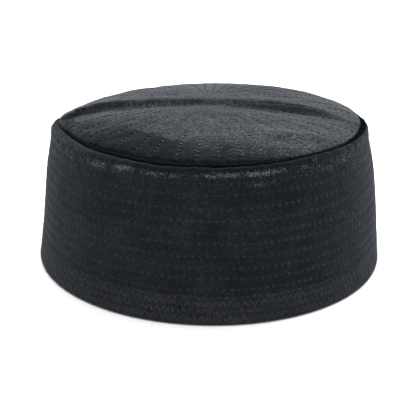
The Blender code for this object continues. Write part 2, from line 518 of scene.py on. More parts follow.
class Face(ABC):
    """A face of the hat that two coordinates read: a bearing, and a height or share up it."""

    nudge: float = 0.0004

    @abstractmethod
    def plain(self, bearing: np.ndarray, level: np.ndarray) -> np.ndarray:
        """Returns the points of the face without its relief."""

    @abstractmethod
    def relief(self, bearing: np.ndarray, level: np.ndarray) -> np.ndarray:
        """Returns how far the cloth stands out from the plain face."""

    def out(self, bearing: np.ndarray, level: np.ndarray) -> np.ndarray:
        """Works out which way the plain face looks.

        Args:
            bearing: Bearing of each place.
            level: Level of each place.

        Returns:
            A unit vector for each place.
        """
        turn, climb = self.nudge / USUAL_RADIUS, self.nudge
        sideways = self.plain(bearing + turn, level) - self.plain(bearing - turn, level)
        upward = self.plain(bearing, level + climb) - self.plain(bearing, level - climb)
        return unit(np.cross(sideways, upward))

    def points(self, bearing: np.ndarray, level: np.ndarray) -> np.ndarray:
        """Returns the points of the cloth, with its relief, one row each."""
        stand = self.relief(bearing, level)[:, None]
        return self.plain(bearing, level) + self.out(bearing, level) * stand

    def seats(self, starts: list[np.ndarray], ends: list[np.ndarray]) -> Seats:
        """Lays straight stitches on the cloth.

        Args:
            starts: Bearing and level of each stitch's first end, line by line.
            ends: Bearing and level of its other end.

        Returns:
            The stitches' seats.
        """
        starts, ends = np.concatenate(starts), np.concatenate(ends)
        middle = (starts + ends) / 2.0
        run = self.points(ends[:, 0], ends[:, 1]) - self.points(starts[:, 0], starts[:, 1])
        out = self.out(middle[:, 0], middle[:, 1])
        return Seats(self.points(middle[:, 0], middle[:, 1]), unit(run), out, np.linalg.norm(run, axis=1))


class Board:
    """A node tree and the few calls that fill it."""

    def __init__(self, tree: bpy.types.NodeTree) -> None:
        """Keeps the tree to fill."""
        self.tree = tree

    def node(self, kind: str, **settings: object) -> bpy.types.Node:
        """Adds a node.

        Args:
            kind: The node's type, without its leading ShaderNode.
            settings: Its settings by name.

        Returns:
            The node.
        """
        made = self.tree.nodes.new("ShaderNode" + kind)
        for name, value in settings.items():
            setattr(made, name, value)
        return made

    def feed(self, node: bpy.types.Node, **inputs: object) -> bpy.types.Node:
        """Sets or links a node's inputs.

        Args:
            node: The node.
            inputs: Sockets or values, by the input's name with _ for a space, or i and its number.

        Returns:
            The same node.
        """
        for name, value in inputs.items():
            key = int(name[1:]) if name[0] == "i" and name[1:].isdigit() else name.replace("_", " ")
            if isinstance(value, bpy.types.NodeSocket):
                self.tree.links.new(value, node.inputs[key])
            else:
                node.inputs[key].default_value = value
        return node

    def math(self, operation: str, first: object, second: object = 0.0) -> bpy.types.NodeSocket:
        """Returns the socket of a sum on two numbers or sockets."""
        return self.feed(self.node("Math", operation=operation), i0=first, i1=second).outputs[0]

    def band(self, value: object, low: float, high: float) -> bpy.types.NodeSocket:
        """Returns the socket of a smooth step from 0 to 1 as a number goes from low to high."""
        made = self.node("MapRange", interpolation_type="SMOOTHSTEP")
        return self.feed(made, Value=value, From_Min=low, From_Max=high).outputs[0]

    def noise(
        self, vector: object, scale: object, detail: float = 2.0, rough: float = 0.5
    ) -> bpy.types.NodeSocket:
        """Returns the socket of a noise from 0 to 1, with so many waves a metre."""
        made = self.node("TexNoise")
        return self.feed(made, Vector=vector, Scale=scale, Detail=detail, Roughness=rough).outputs["Fac"]

    def blend(self, share: object, first: object, second: object) -> bpy.types.NodeSocket:
        """Returns the socket of a blend of two colours, where the share is the second one's."""
        made = self.node("Mix", data_type="RGBA")
        return self.feed(made, i0=share, i6=first, i7=second).outputs[2]

    def bump(self, height: object, strength: float, distance: float) -> bpy.types.NodeSocket:
        """Returns the socket of a bump's normal, with the bump's full height in metres."""
        made = self.node("Bump")
        return self.feed(made, Height=height, Strength=strength, Distance=distance).outputs["Normal"]

    def group(self, tree: bpy.types.NodeTree, **inputs: object) -> bpy.types.Node:
        """Returns a new node for a shared group, with its inputs set or linked."""
        return self.feed(self.node("Group", node_tree=tree), **inputs)

    def mark(self, name: str) -> bpy.types.NodeSocket:
        """Returns the socket of a number that the piece's points hold."""
        return self.node("Attribute", attribute_name=name).outputs["Fac"]


def new_group(
    name: str, inputs: dict[str, float | None], outputs: tuple[str, ...]
) -> tuple[Board, dict[str, bpy.types.NodeSocket], bpy.types.Node]:
    """Starts a shader node group.

    Args:
        name: The group's name.
        inputs: Each input's name, with its usual number, or None for a vector.
        outputs: The outputs' names, each for a number.

    Returns:
        The board, the input sockets by name, and the output node.
    """
    tree = bpy.data.node_groups.new(name, "ShaderNodeTree")
    for label, usual in inputs.items():
        kind = "NodeSocketVector" if usual is None else "NodeSocketFloat"
        socket = tree.interface.new_socket(name=label, in_out="INPUT", socket_type=kind)
        if usual is not None:
            socket.default_value = usual
    for label in outputs:
        tree.interface.new_socket(name=label, in_out="OUTPUT", socket_type="NodeSocketFloat")
    board = Board(tree)
    source = tree.nodes.new("NodeGroupInput")
    return board, {label: source.outputs[label] for label in inputs}, tree.nodes.new("NodeGroupOutput")


def pile_group() -> bpy.types.NodeTree:
    """Builds the short pile of velvet: tufts, flecks where the pile parts, and patches brushed either way,
    where the lean also paints light and shade.

    Returns:
        The node group, whose outputs are a height, and masks of the flecks, the gaps and the brushed pile.
    """
    inputs = {"Vector": None, "Tuft": 0.0012, "Nap": 0.014, "Lean": 0.5}
    board, given, result = new_group("velvet_pile", inputs, ("Height", "Fleck", "Gap", "Brushed"))
    tuft = board.math("DIVIDE", 1.0, given["Tuft"])
    nap = board.math("DIVIDE", 1.0, given["Nap"])
    fine = board.noise(given["Vector"], tuft, 3.0, 0.6)
    broad = board.noise(given["Vector"], board.math("MULTIPLY", tuft, 0.31), 1.0)
    brushed = board.math("ADD", board.noise(given["Vector"], nap, 3.0, 0.6), given["Lean"])
    height = board.math("ADD", board.math("MULTIPLY", fine, 0.8), board.math("MULTIPLY", broad, 0.5))
    board.feed(
        result,
        Height=height,
        Fleck=board.band(fine, 0.50, 0.64),
        Gap=board.band(fine, 0.50, 0.38),
        Brushed=board.band(brushed, 0.55, 1.45),
    )
    return board.tree


def weave_group() -> bpy.types.NodeTree:
    """Builds a plain weave on a map in metres.

    Returns:
        The node group, whose outputs are a height and a mask of the threads on top.
    """
    board, given, result = new_group("plain_weave", {"Vector": None, "Pitch": 0.0007}, ("Height", "Top"))
    count = board.math("DIVIDE", math.pi, given["Pitch"])
    parts = board.feed(board.node("SeparateXYZ"), i0=given["Vector"])
    warp = board.math("SINE", board.math("MULTIPLY", parts.outputs[0], count))
    weft = board.math("SINE", board.math("MULTIPLY", parts.outputs[1], count))
    crossed = board.math("MULTIPLY", warp, weft)
    board.feed(result, Height=board.math("ABSOLUTE", crossed), Top=board.band(crossed, -0.2, 0.2))
    return board.tree


def wear_group() -> bpy.types.NodeTree:
    """Builds rubbed pile: lighter specks that grow thicker as the wear rises, and that also paint sheen and
    highlights.

    Returns:
        The node group, whose output is a mask.
    """
    inputs = {"Vector": None, "Wear": 0.0, "Speck": 0.0007}
    board, given, result = new_group("rubbed_pile", inputs, ("Mask",))
    specks = board.noise(given["Vector"], board.math("DIVIDE", 1.0, given["Speck"]), 1.0)
    patches = board.noise(given["Vector"], 160.0, 2.0)
    reach = board.math("MULTIPLY", given["Wear"], board.band(patches, 0.25, 0.65))
    lifted = board.math("ADD", specks, board.math("MULTIPLY", reach, 0.40))
    board.feed(result, Mask=board.band(lifted, 0.72, 0.92))
    return board.tree


class Groups:
    """The shared node groups, each built once."""

    def __init__(self) -> None:
        """Builds the groups."""
        self.pile = pile_group()
        self.weave = weave_group()
        self.wear = wear_group()


Color = tuple[float, float, float, float]


def new_material(name: str) -> tuple[bpy.types.Material, Board, bpy.types.Node]:
    """Starts a material.

    Args:
        name: The material's name.

    Returns:
        The material, its board and its main shader.
    """
    made = bpy.data.materials.new(name)
    made.use_nodes = True
    return made, Board(made.node_tree), made.node_tree.nodes["Principled BSDF"]


@dataclass(frozen=True)
class VelvetFinish:
    """Black velvet: a dark ground, a pile that lightens at a glance, brushed patches and rubbed specks, whose
    masks also paint light and shade.
    """

    name: str
    deep: Color
    brushed: Color
    fleck: Color
    # The colour of the rubbed specks, which also paints sheen and highlights
    rubbed: Color
    sheen: float
    sheen_spread: float
    sheen_tint: Color
    tuft: float = 0.0012
    nap: float = 0.014
    pile_depth: float = 0.00042
    roughness: float = 0.9
    gloss: float = 0.02

    def material(self, groups: Groups) -> bpy.types.Material:
        """Builds the material.

        Args:
            groups: The shared node groups.

        Returns:
            The material.
        """
        made, board, shader = new_material(self.name)
        where = board.node("TexCoord").outputs["Object"]
        pile = board.group(groups.pile, Vector=where, Tuft=self.tuft, Nap=self.nap, Lean=board.mark("lean"))
        rubbed = board.group(groups.wear, Vector=where, Wear=board.mark("wear"))
        ground = board.blend(pile.outputs["Brushed"], self.deep, self.brushed)
        parted = board.blend(board.math("MULTIPLY", pile.outputs["Gap"], 0.6), ground, self.deep)
        raised = board.math("ADD", 0.1, board.math("MULTIPLY", pile.outputs["Brushed"], 0.6))
        flecked = board.blend(board.math("MULTIPLY", pile.outputs["Fleck"], raised), parted, self.fleck)
        color = board.blend(rubbed.outputs["Mask"], flecked, self.rubbed)
        rough = board.math("MULTIPLY", pile.outputs["Brushed"], 0.08)
        board.feed(
            shader,
            Base_Color=color,
            Roughness=board.math("SUBTRACT", self.roughness, rough),
            Normal=board.bump(pile.outputs["Height"], 1.0, self.pile_depth),
            Specular_IOR_Level=self.gloss,
            Sheen_Weight=self.sheen,
            Sheen_Roughness=self.sheen_spread,
            Sheen_Tint=self.sheen_tint,
        )
        return made


@dataclass(frozen=True)
class BackingFinish:
    """The plain woven cloth inside the hat."""

    name: str = "black_backing_cloth"
    warp: Color = (0.020, 0.021, 0.024, 1.0)
    weft: Color = (0.012, 0.013, 0.015, 1.0)
    pitch: float = 0.0009

    def material(self, groups: Groups) -> bpy.types.Material:
        """Builds the material.

        Args:
            groups: The shared node groups.

        Returns:
            The material.
        """
        made, board, shader = new_material(self.name)
        where = board.node("UVMap", uv_map="cloth").outputs["UV"]
        weave = board.group(groups.weave, Vector=where, Pitch=self.pitch)
        slub = board.noise(board.node("TexCoord").outputs["Object"], 90.0, 3.0)
        threads = board.blend(weave.outputs["Top"], self.weft, self.warp)
        board.feed(
            shader,
            Base_Color=board.blend(board.math("MULTIPLY", slub, 0.5), threads, self.weft),
            Roughness=board.math("ADD", 0.75, board.math("MULTIPLY", slub, 0.15)),
            Normal=board.bump(weave.outputs["Height"], 0.7, 0.0002),
            Specular_IOR_Level=0.2,
        )
        return made


@dataclass(frozen=True)
class ThreadFinish:
    """Twisted sewing thread."""

    name: str
    dark: Color
    light: Color
    twist: float = 2600.0
    gloss: float = 0.05

    def material(self) -> bpy.types.Material:
        """Builds the material.

        Returns:
            The material.
        """
        made, board, shader = new_material(self.name)
        where = board.node("TexCoord").outputs["Object"]
        wave = board.node("TexWave", wave_type="BANDS", bands_direction="DIAGONAL")
        plies = board.feed(wave, Vector=where, Scale=self.twist / TURN, Distortion=1.5).outputs["Fac"]
        fade = board.noise(where, 260.0, 2.0)
        board.feed(
            shader,
            Base_Color=board.blend(board.band(fade, 0.3, 0.7), self.dark, self.light),
            Roughness=board.math("ADD", 0.5, board.math("MULTIPLY", plies, 0.2)),
            Normal=board.bump(plies, 0.5, 0.0001),
            Specular_IOR_Level=self.gloss,
        )
        return made


class Velvets(Enum):
    """The velvet of each piece."""

    # The band's rubbed colour also paints the sheen on its sides and the highlights on its shoulder
    BAND = VelvetFinish(
        "band_pile_velvet",
        deep=(0.0058, 0.0072, 0.0098, 1.0),
        brushed=(0.0145, 0.0163, 0.0198, 1.0),
        fleck=(0.0240, 0.0260, 0.0300, 1.0),
        rubbed=(0.110, 0.115, 0.124, 1.0),
        pile_depth=0.00033,
        sheen=0.085,
        sheen_spread=0.45,
        sheen_tint=(0.80, 0.90, 1.0, 1.0),
    )
    HEM = VelvetFinish(
        "hem_pile_velvet",
        deep=(0.0080, 0.0095, 0.0122, 1.0),
        brushed=(0.0175, 0.0196, 0.0234, 1.0),
        fleck=(0.0340, 0.0360, 0.0405, 1.0),
        rubbed=(0.070, 0.073, 0.080, 1.0),
        sheen=0.10,
        sheen_spread=0.42,
        sheen_tint=(0.82, 0.91, 1.0, 1.0),
        nap=0.009,
        pile_depth=0.00028,
    )
    # Lighter than the band's velvet: its brushed and fleck colours hold painted light from the lamp above
    CROWN = VelvetFinish(
        "crown_lit_pile_velvet",
        deep=(0.0050, 0.0062, 0.0080, 1.0),
        brushed=(0.0300, 0.0335, 0.0390, 1.0),
        fleck=(0.0950, 0.1010, 0.1100, 1.0),
        rubbed=(0.060, 0.065, 0.070, 1.0),
        sheen=0.42,
        sheen_spread=0.32,
        sheen_tint=(0.88, 0.95, 1.0, 1.0),
        nap=0.010,
    )
    # A darker, duller copy of the crown's velvet, for painted shade on the crown
    SHADED = VelvetFinish(
        "crown_shaded_velvet",
        deep=(0.0044, 0.0055, 0.0072, 1.0),
        brushed=(0.0190, 0.0215, 0.0255, 1.0),
        fleck=(0.0600, 0.0640, 0.0710, 1.0),
        rubbed=(0.050, 0.054, 0.059, 1.0),
        sheen=0.20,
        sheen_spread=0.34,
        sheen_tint=(0.88, 0.95, 1.0, 1.0),
        nap=0.010,
    )
    # A near-black, dull copy of the crown's velvet, for painted shade in the seam at the front and at the
    # fold's left end
    EDGE = VelvetFinish(
        "crown_edge_shade_velvet",
        deep=(0.0036, 0.0046, 0.0062, 1.0),
        brushed=(0.0075, 0.0088, 0.0108, 1.0),
        fleck=(0.0240, 0.0260, 0.0300, 1.0),
        rubbed=(0.040, 0.043, 0.048, 1.0),
        sheen=0.05,
        sheen_spread=0.4,
        sheen_tint=(0.85, 0.92, 1.0, 1.0),
        nap=0.008,
    )
    # The welt's black velvet, drawn darker and duller than the band's: its own black and painted shade in the
    # seam's groove
    WELT = VelvetFinish(
        "welt_pile_and_shade_velvet",
        deep=(0.0022, 0.0028, 0.0038, 1.0),
        brushed=(0.0040, 0.0048, 0.0062, 1.0),
        fleck=(0.0080, 0.0092, 0.0110, 1.0),
        rubbed=(0.020, 0.022, 0.025, 1.0),
        sheen=0.02,
        sheen_spread=0.5,
        sheen_tint=(0.85, 0.92, 1.0, 1.0),
        nap=0.006,
    )


class Threads(Enum):
    """The threads and fibres that lie on the velvet."""

    BAND = ThreadFinish("band_thread", (0.0160, 0.0175, 0.0205, 1.0), (0.0340, 0.0355, 0.0400, 1.0))
    HEM = ThreadFinish("hem_thread", (0.0240, 0.0260, 0.0300, 1.0), (0.0460, 0.0475, 0.0530, 1.0))
    CROWN = ThreadFinish("crown_thread", (0.045, 0.048, 0.053, 1.0), (0.125, 0.131, 0.140, 1.0))
    # Pale loose fibres: their light grey is painted highlight on pile that catches the light
    LIT_PILE = ThreadFinish("loose_pile_highlight", (0.050, 0.053, 0.058, 1.0), (0.190, 0.196, 0.206, 1.0))
    # Near-black fibres: the welt's worn pile, and the painted shadow in the crown's needle holes
    DARK_PILE_AND_SHADOW = ThreadFinish("dark_pile_and_shadow", (0.0025, 0.003, 0.004, 1.0), (0.007, 0.008, 0.010, 1.0), gloss=0.02)
    LINT = ThreadFinish("lint_fibre", (0.036, 0.037, 0.040, 1.0), (0.060, 0.061, 0.065, 1.0))


def deselect() -> None:
    """Leaves edit mode and deselects everything."""
    if bpy.context.object and bpy.context.object.mode != "OBJECT":
        bpy.ops.object.mode_set(mode="OBJECT")
    bpy.ops.object.select_all(action="DESELECT")


def added(name: str) -> bpy.types.Object:
    """Names the primitive that was just added, and applies its place.

    Args:
        name: The piece's name.

    Returns:
        The piece.
    """
    piece = bpy.context.object
    piece.name = name
    piece.data.name = name
    bpy.ops.object.transform_apply(location=True, rotation=True, scale=True)
    return piece


def pick(piece: bpy.types.Object) -> None:
    """Makes a piece the active one, and the only one selected.

    Args:
        piece: The piece.
    """
    deselect()
    bpy.context.view_layer.objects.active = piece
    piece.select_set(True)


def vectors(items: bpy.types.bpy_prop_collection, field: str) -> np.ndarray:
    """Reads a vector of all of a mesh's points or faces.

    Args:
        items: The points or faces.
        field: The vector's name.

    Returns:
        The vectors, one row each.
    """
    values = np.empty(3 * len(items), np.float32)
    items.foreach_get(field, values)
    return values.reshape(-1, 3)


def whole_numbers(items: bpy.types.bpy_prop_collection, field: str, columns: int = 1) -> np.ndarray:
    """Reads whole numbers of all of a mesh's edges, corners or faces.

    Args:
        items: The edges, corners or faces.
        field: The numbers' name.
        columns: How many each of them has.

    Returns:
        The numbers, one row each where each has several.
    """
    values = np.empty(columns * len(items), np.int32)
    items.foreach_get(field, values)
    return values if columns == 1 else values.reshape(-1, columns)


def cut_edges(piece: bpy.types.Object, wanted: np.ndarray, cuts: int) -> None:
    """Cuts some of a piece's edges into equal parts.

    Args:
        piece: The active piece, in object mode.
        wanted: True for each edge to cut.
        cuts: How many cuts each gets.
    """
    mesh = piece.data
    bpy.context.tool_settings.mesh_select_mode = (False, True, False)
    mesh.polygons.foreach_set("select", np.zeros(len(mesh.polygons), bool))
    mesh.edges.foreach_set("select", wanted)
    ends = np.zeros(len(mesh.vertices), bool)
    ends[whole_numbers(mesh.edges, "vertices", 2)[wanted].ravel()] = True
    mesh.vertices.foreach_set("select", ends)
    bpy.ops.object.mode_set(mode="EDIT")
    bpy.ops.mesh.subdivide(number_cuts=cuts)
    bpy.ops.object.mode_set(mode="OBJECT")


def coordinates(mesh: bpy.types.Mesh) -> np.ndarray:
    """Returns a mesh's points, one row each."""
    return vectors(mesh.vertices, "co").astype(float)


def run_along(mesh: bpy.types.Mesh, axis: int) -> np.ndarray:
    """Returns how far each of a mesh's edges runs along an axis, either way."""
    ends = coordinates(mesh)[whole_numbers(mesh.edges, "vertices", 2)]
    return np.abs(ends[:, 0, axis] - ends[:, 1, axis])


def bearings(points: np.ndarray) -> np.ndarray:
    """Returns the bearing of each point."""
    return np.arctan2(points[:, 0], -points[:, 1])


def ringed_tube(name: str, radius: float, segments: int, coarse: int, fine: int) -> bpy.types.Object:
    """Adds an open tube, one metre tall, that is cut into even rings.

    Args:
        name: The piece's name.
        radius: The tube's radius.
        segments: How many sides it has.
        coarse: How many bands the first cut makes.
        fine: How many rings the second cut makes of each band.

    Returns:
        The tube, in object mode.
    """
    deselect()
    bpy.ops.mesh.primitive_cylinder_add(
        vertices=segments, radius=radius, depth=1.0, end_fill_type="NOTHING", location=(0.0, 0.0, 0.5)
    )
    tube = added(name)
    for cuts in (coarse - 1, fine - 1):
        cut_edges(tube, run_along(tube.data, 2) > 1e-4, cuts)
    return tube


def unrolled(tube: bpy.types.Object, rings: int) -> tuple[np.ndarray, np.ndarray]:
    """Returns the ring and the bearing of each point of a plain tube with so many rings."""
    points = coordinates(tube.data)
    return np.rint(points[:, 2] * (rings - 1)).astype(int), bearings(points)


def bridge_ends(tube: bpy.types.Object) -> None:
    """Joins the open ends of a shaped tube, which makes it one closed ring.

    Args:
        tube: The tube, in object mode.
    """
    pick(tube)
    bpy.ops.object.mode_set(mode="EDIT")
    bpy.ops.mesh.select_mode(type="EDGE")
    bpy.ops.mesh.select_all(action="DESELECT")
    bpy.ops.mesh.select_non_manifold(use_wire=False, use_boundary=True, use_multi_face=False, use_verts=False)
    bpy.ops.mesh.bridge_edge_loops()
    bpy.ops.object.mode_set(mode="OBJECT")


def close_poles(tube: bpy.types.Object) -> None:
    """Merges the end rings of a tube that were drawn in to a point.

    Args:
        tube: The tube, in object mode.
    """
    pick(tube)
    bpy.ops.object.mode_set(mode="EDIT")
    bpy.ops.mesh.select_mode(type="VERT")
    bpy.ops.mesh.select_all(action="SELECT")
    bpy.ops.mesh.remove_doubles(threshold=0.000002)
    bpy.ops.object.mode_set(mode="OBJECT")


def set_points(mesh: bpy.types.Mesh, points: np.ndarray) -> None:
    """Moves a mesh's points to new ones, one row each."""
    mesh.vertices.foreach_set("co", points.astype(np.float32).ravel())
    mesh.update()


def set_pile(mesh: bpy.types.Mesh, wear: np.ndarray, lean: np.ndarray) -> None:
    """Stores how rubbed the pile is at each point and its lean, which is 1 where it is brushed up; both also
    hold painted light and shade.
    """
    for name, values in (("wear", wear), ("lean", lean)):
        mesh.attributes.new(name, "FLOAT", "POINT").data.foreach_set("value", values.astype(np.float32))


def lay_cloth_map(mesh: bpy.types.Mesh, around: np.ndarray, up: np.ndarray, radius: float) -> None:
    """Lays a map in metres over a turned mesh, unbroken across its back.

    Args:
        mesh: The mesh.
        around: Bearing of each point.
        up: Distance of each point up the section.
        radius: Radius at which the map is true to size.
    """
    corners = whole_numbers(mesh.loops, "vertex_index")
    starts = whole_numbers(mesh.polygons, "loop_start")
    first = np.repeat(around[corners[starts]], whole_numbers(mesh.polygons, "loop_total"))
    turned = around[corners]
    turned = first + (turned - first + math.pi) % TURN - math.pi
    layer = mesh.uv_layers.new(name="cloth")
    flat = np.stack((turned * radius, up[corners]), axis=1)
    layer.data.foreach_set("uv", flat.astype(np.float32).ravel())


def smooth_piece(piece: bpy.types.Object, angle: float = 50.0) -> None:
    """Shades a piece smooth, but for edges past an angle in degrees."""
    pick(piece)
    bpy.ops.object.shade_smooth_by_angle(angle=math.radians(angle))


class Template(NamedTuple):
    """A small shape that is copied many times, one metre long and one metre wide."""

    points: np.ndarray
    corners: np.ndarray
    totals: np.ndarray


def stitch_template(sides: int = 6, cuts: int = 3, arch: float = 0.55, thin_end: float = 0.35) -> Template:
    """Models one stitch along X: a rod that is thick in its middle and dives at both ends.

    Args:
        sides: How many sides the thread has.
        cuts: How many rings it has between its ends.
        arch: How far its ends dive, in widths.
        thin_end: How thick its very ends would be, as a share of its middle.

    Returns:
        The stitch's shape.
    """
    deselect()
    bpy.ops.mesh.primitive_cylinder_add(
        vertices=sides, radius=0.5, depth=1.0, end_fill_type="NGON", rotation=(0.0, math.pi / 2.0, 0.0)
    )
    rod = added("stitch")
    cut_edges(rod, run_along(rod.data, 0) > 0.5, cuts)
    points = coordinates(rod.data)
    swell = np.sqrt(np.clip(1.0 - (1.86 * points[:, 0]) ** 2, 0.02, 1.0))
    points[:, 1:] *= (thin_end + (1.0 - thin_end) * swell)[:, None]
    points[:, 2] -= arch * (2.0 * points[:, 0]) ** 4
    return lifted_template(rod, points)


def fibre_template(bend: float = 0.25) -> Template:
    """Models one fibre along X: a thin spike that bends over.

    Args:
        bend: How far its tip bends, in lengths.

    Returns:
        The fibre's shape.
    """
    deselect()
    bpy.ops.mesh.primitive_cone_add(
        vertices=3,
        radius1=0.5,
        radius2=0.0,
        depth=1.0,
        location=(0.5, 0.0, 0.0),
        rotation=(0.0, math.pi / 2.0, 0.0),
    )
    spike = added("fibre")
    cut_edges(spike, run_along(spike.data, 0) > 0.5, 1)
    points = coordinates(spike.data)
    points[:, 2] += bend * points[:, 0] ** 2
    return lifted_template(spike, points)


def lifted_template(model: bpy.types.Object, points: np.ndarray) -> Template:
    """Reads a modelled shape and removes its object.

    Args:
        model: The modelled object.
        points: Its points, as finally shaped.

    Returns:
        The shape.
    """
    mesh = model.data
    corners, totals = whole_numbers(mesh.loops, "vertex_index"), whole_numbers(mesh.polygons, "loop_total")
    bpy.data.objects.remove(model)
    bpy.data.meshes.remove(mesh)
    return Template(points, corners, totals)


def joined_copies(
    name: str,
    material: bpy.types.Material,
    template: Template,
    seats: Seats,
    widths: np.ndarray,
    flat: float = 0.6,
) -> bpy.types.Object:
    """Copies a shape to many seats, as one finished piece.

    Args:
        name: The piece's name.
        material: The copies' material.
        template: The shape.
        seats: Where the copies lie, and how long they are.
        widths: How wide each copy is.
        flat: Their thickness as a share of their width.

    Returns:
        The piece.
    """
    side = unit(np.cross(seats.out, seats.along))
    out = np.cross(seats.along, side)
    local = template.points
    spread = local[None, :, 0, None] * seats.lengths[:, None, None] * seats.along[:, None, :]
    spread = spread + local[None, :, 1, None] * widths[:, None, None] * side[:, None, :]
    spread = spread + local[None, :, 2, None] * (flat * widths)[:, None, None] * out[:, None, :]
    points = (seats.middles[:, None, :] + spread).reshape(-1, 3)
    count, size = len(seats.middles), len(local)
    corners = (template.corners[None, :] + size * np.arange(count)[:, None]).ravel()
    totals = np.tile(template.totals, count)
    mesh = bpy.data.meshes.new(name)
    mesh.vertices.add(len(points))
    mesh.loops.add(len(corners))
    mesh.polygons.add(len(totals))
    mesh.vertices.foreach_set("co", points.astype(np.float32).ravel())
    mesh.polygons.foreach_set("loop_start", np.concatenate(([0], np.cumsum(totals)[:-1])).astype(np.int32))
    mesh.loops.foreach_set("vertex_index", corners.astype(np.int32))
    mesh.update(calc_edges=True)
    mesh.shade_smooth()
    piece = bpy.data.objects.new(name, mesh)
    bpy.context.scene.collection.objects.link(piece)
    finish_piece(piece, [material])
    return piece


def finish_piece(
    piece: bpy.types.Object, materials: list[bpy.types.Material], node: str = ""
) -> None:
    """Gives a piece its materials, its body and the solid that it stands for.

    Args:
        piece: The piece.
        materials: Its materials, in order.
        node: The node that it replaces, if any.
    """
    for material in materials:
        piece.data.materials.append(material)
    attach(piece, BODY)
    if node:
        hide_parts(node)
    LOG.info("%s: %d faces", piece.name, len(piece.data.polygons))


@dataclass(frozen=True)
class Fuzz:
    """Loose fibres that stand on a face, each leaning its own way, between two lengths and two widths."""

    name: str
    slot: str
    lengths: tuple[float, float]
    widths: tuple[float, float]
    upright: float = 0.8
    scatter: float = 0.7
    least_rise: float = 0.25
    lifting: float = 1.5
    depth: float = 0.00008

    def build(
        self,
        face: Face,
        bearing: np.ndarray,
        level: np.ndarray,
        draw: np.random.RandomState,
        template: Template,
        material: bpy.types.Material,
    ) -> bpy.types.Object:
        """Stands the fibres on a face.

        Args:
            face: The face they stand on.
            bearing: Bearing of each fibre.
            level: Level of each fibre.
            draw: The random draw.
            template: One fibre.
            material: The fibres' finish.

        Returns:
            The fibres.
        """
        count = len(bearing)
        out = face.out(bearing, level)
        along = unit(out * self.upright + draw.normal(0.0, self.scatter, (count, 3)))
        sunk = np.clip(self.least_rise - (along * out).sum(axis=1, keepdims=True), 0.0, None)
        along = unit(along + out * sunk * self.lifting)
        side = unit(np.cross(along, draw.normal(0.0, 1.0, (count, 3))))
        roots = face.points(bearing, level) - out * self.depth
        seats = Seats(roots, along, side, draw.uniform(*self.lengths, count))
        widths = draw.uniform(*self.widths, count)
        return joined_copies(self.name, material, template, seats, widths, 1.0)


class Shell(Face):
    """A face of a closed ring of cloth, whose one section is carried all round the hat."""

    form: HatForm
    segments: int
    coarse: int
    fine: int

    @abstractmethod
    def section(self) -> np.ndarray:
        """Returns each ring's radius, height, share of relief and share of the lip's tuck, one row each."""

    @abstractmethod
    def pile(self, bearing: np.ndarray, level: np.ndarray, share: np.ndarray) -> tuple[np.ndarray, ...]:
        """Returns how rubbed the pile is, and how it leans, with any painted light and shade in them."""

    def build_shell(self, name: str, girth: float, map_radius: float) -> bpy.types.Object:
        """Carries the section round the hat, and raises its relief.

        Args:
            name: The piece's name.
            girth: The radius of the plain tube it is shaped from.
            map_radius: The radius at which the cloth's map is true to size.

        Returns:
            The shaped piece, without its materials.
        """
        piece = ringed_tube(name, girth, self.segments, self.coarse, self.fine)
        section = self.section()
        ring, bearing = unrolled(piece, len(section))
        radius, height, share, tuck = section[ring].T
        tucked = radius - self.form.tuck.at(np.degrees(bearing)) * tuck
        set_points(piece.data, self.form.settled(bearing, tucked, height))
        bridge_ends(piece)
        stand = self.relief(bearing, height) * share
        outward = vectors(piece.data.vertex_normals, "vector")
        set_points(piece.data, coordinates(piece.data) + outward * stand[:, None])
        set_pile(piece.data, *self.pile(bearing, height, share))
        steps = np.hypot(np.diff(section[:, 0]), np.diff(section[:, 1]))
        travel = np.concatenate(([0.0], np.cumsum(steps)))
        lay_cloth_map(piece.data, bearing, travel[ring], map_radius)
        smooth_piece(piece)
        return piece


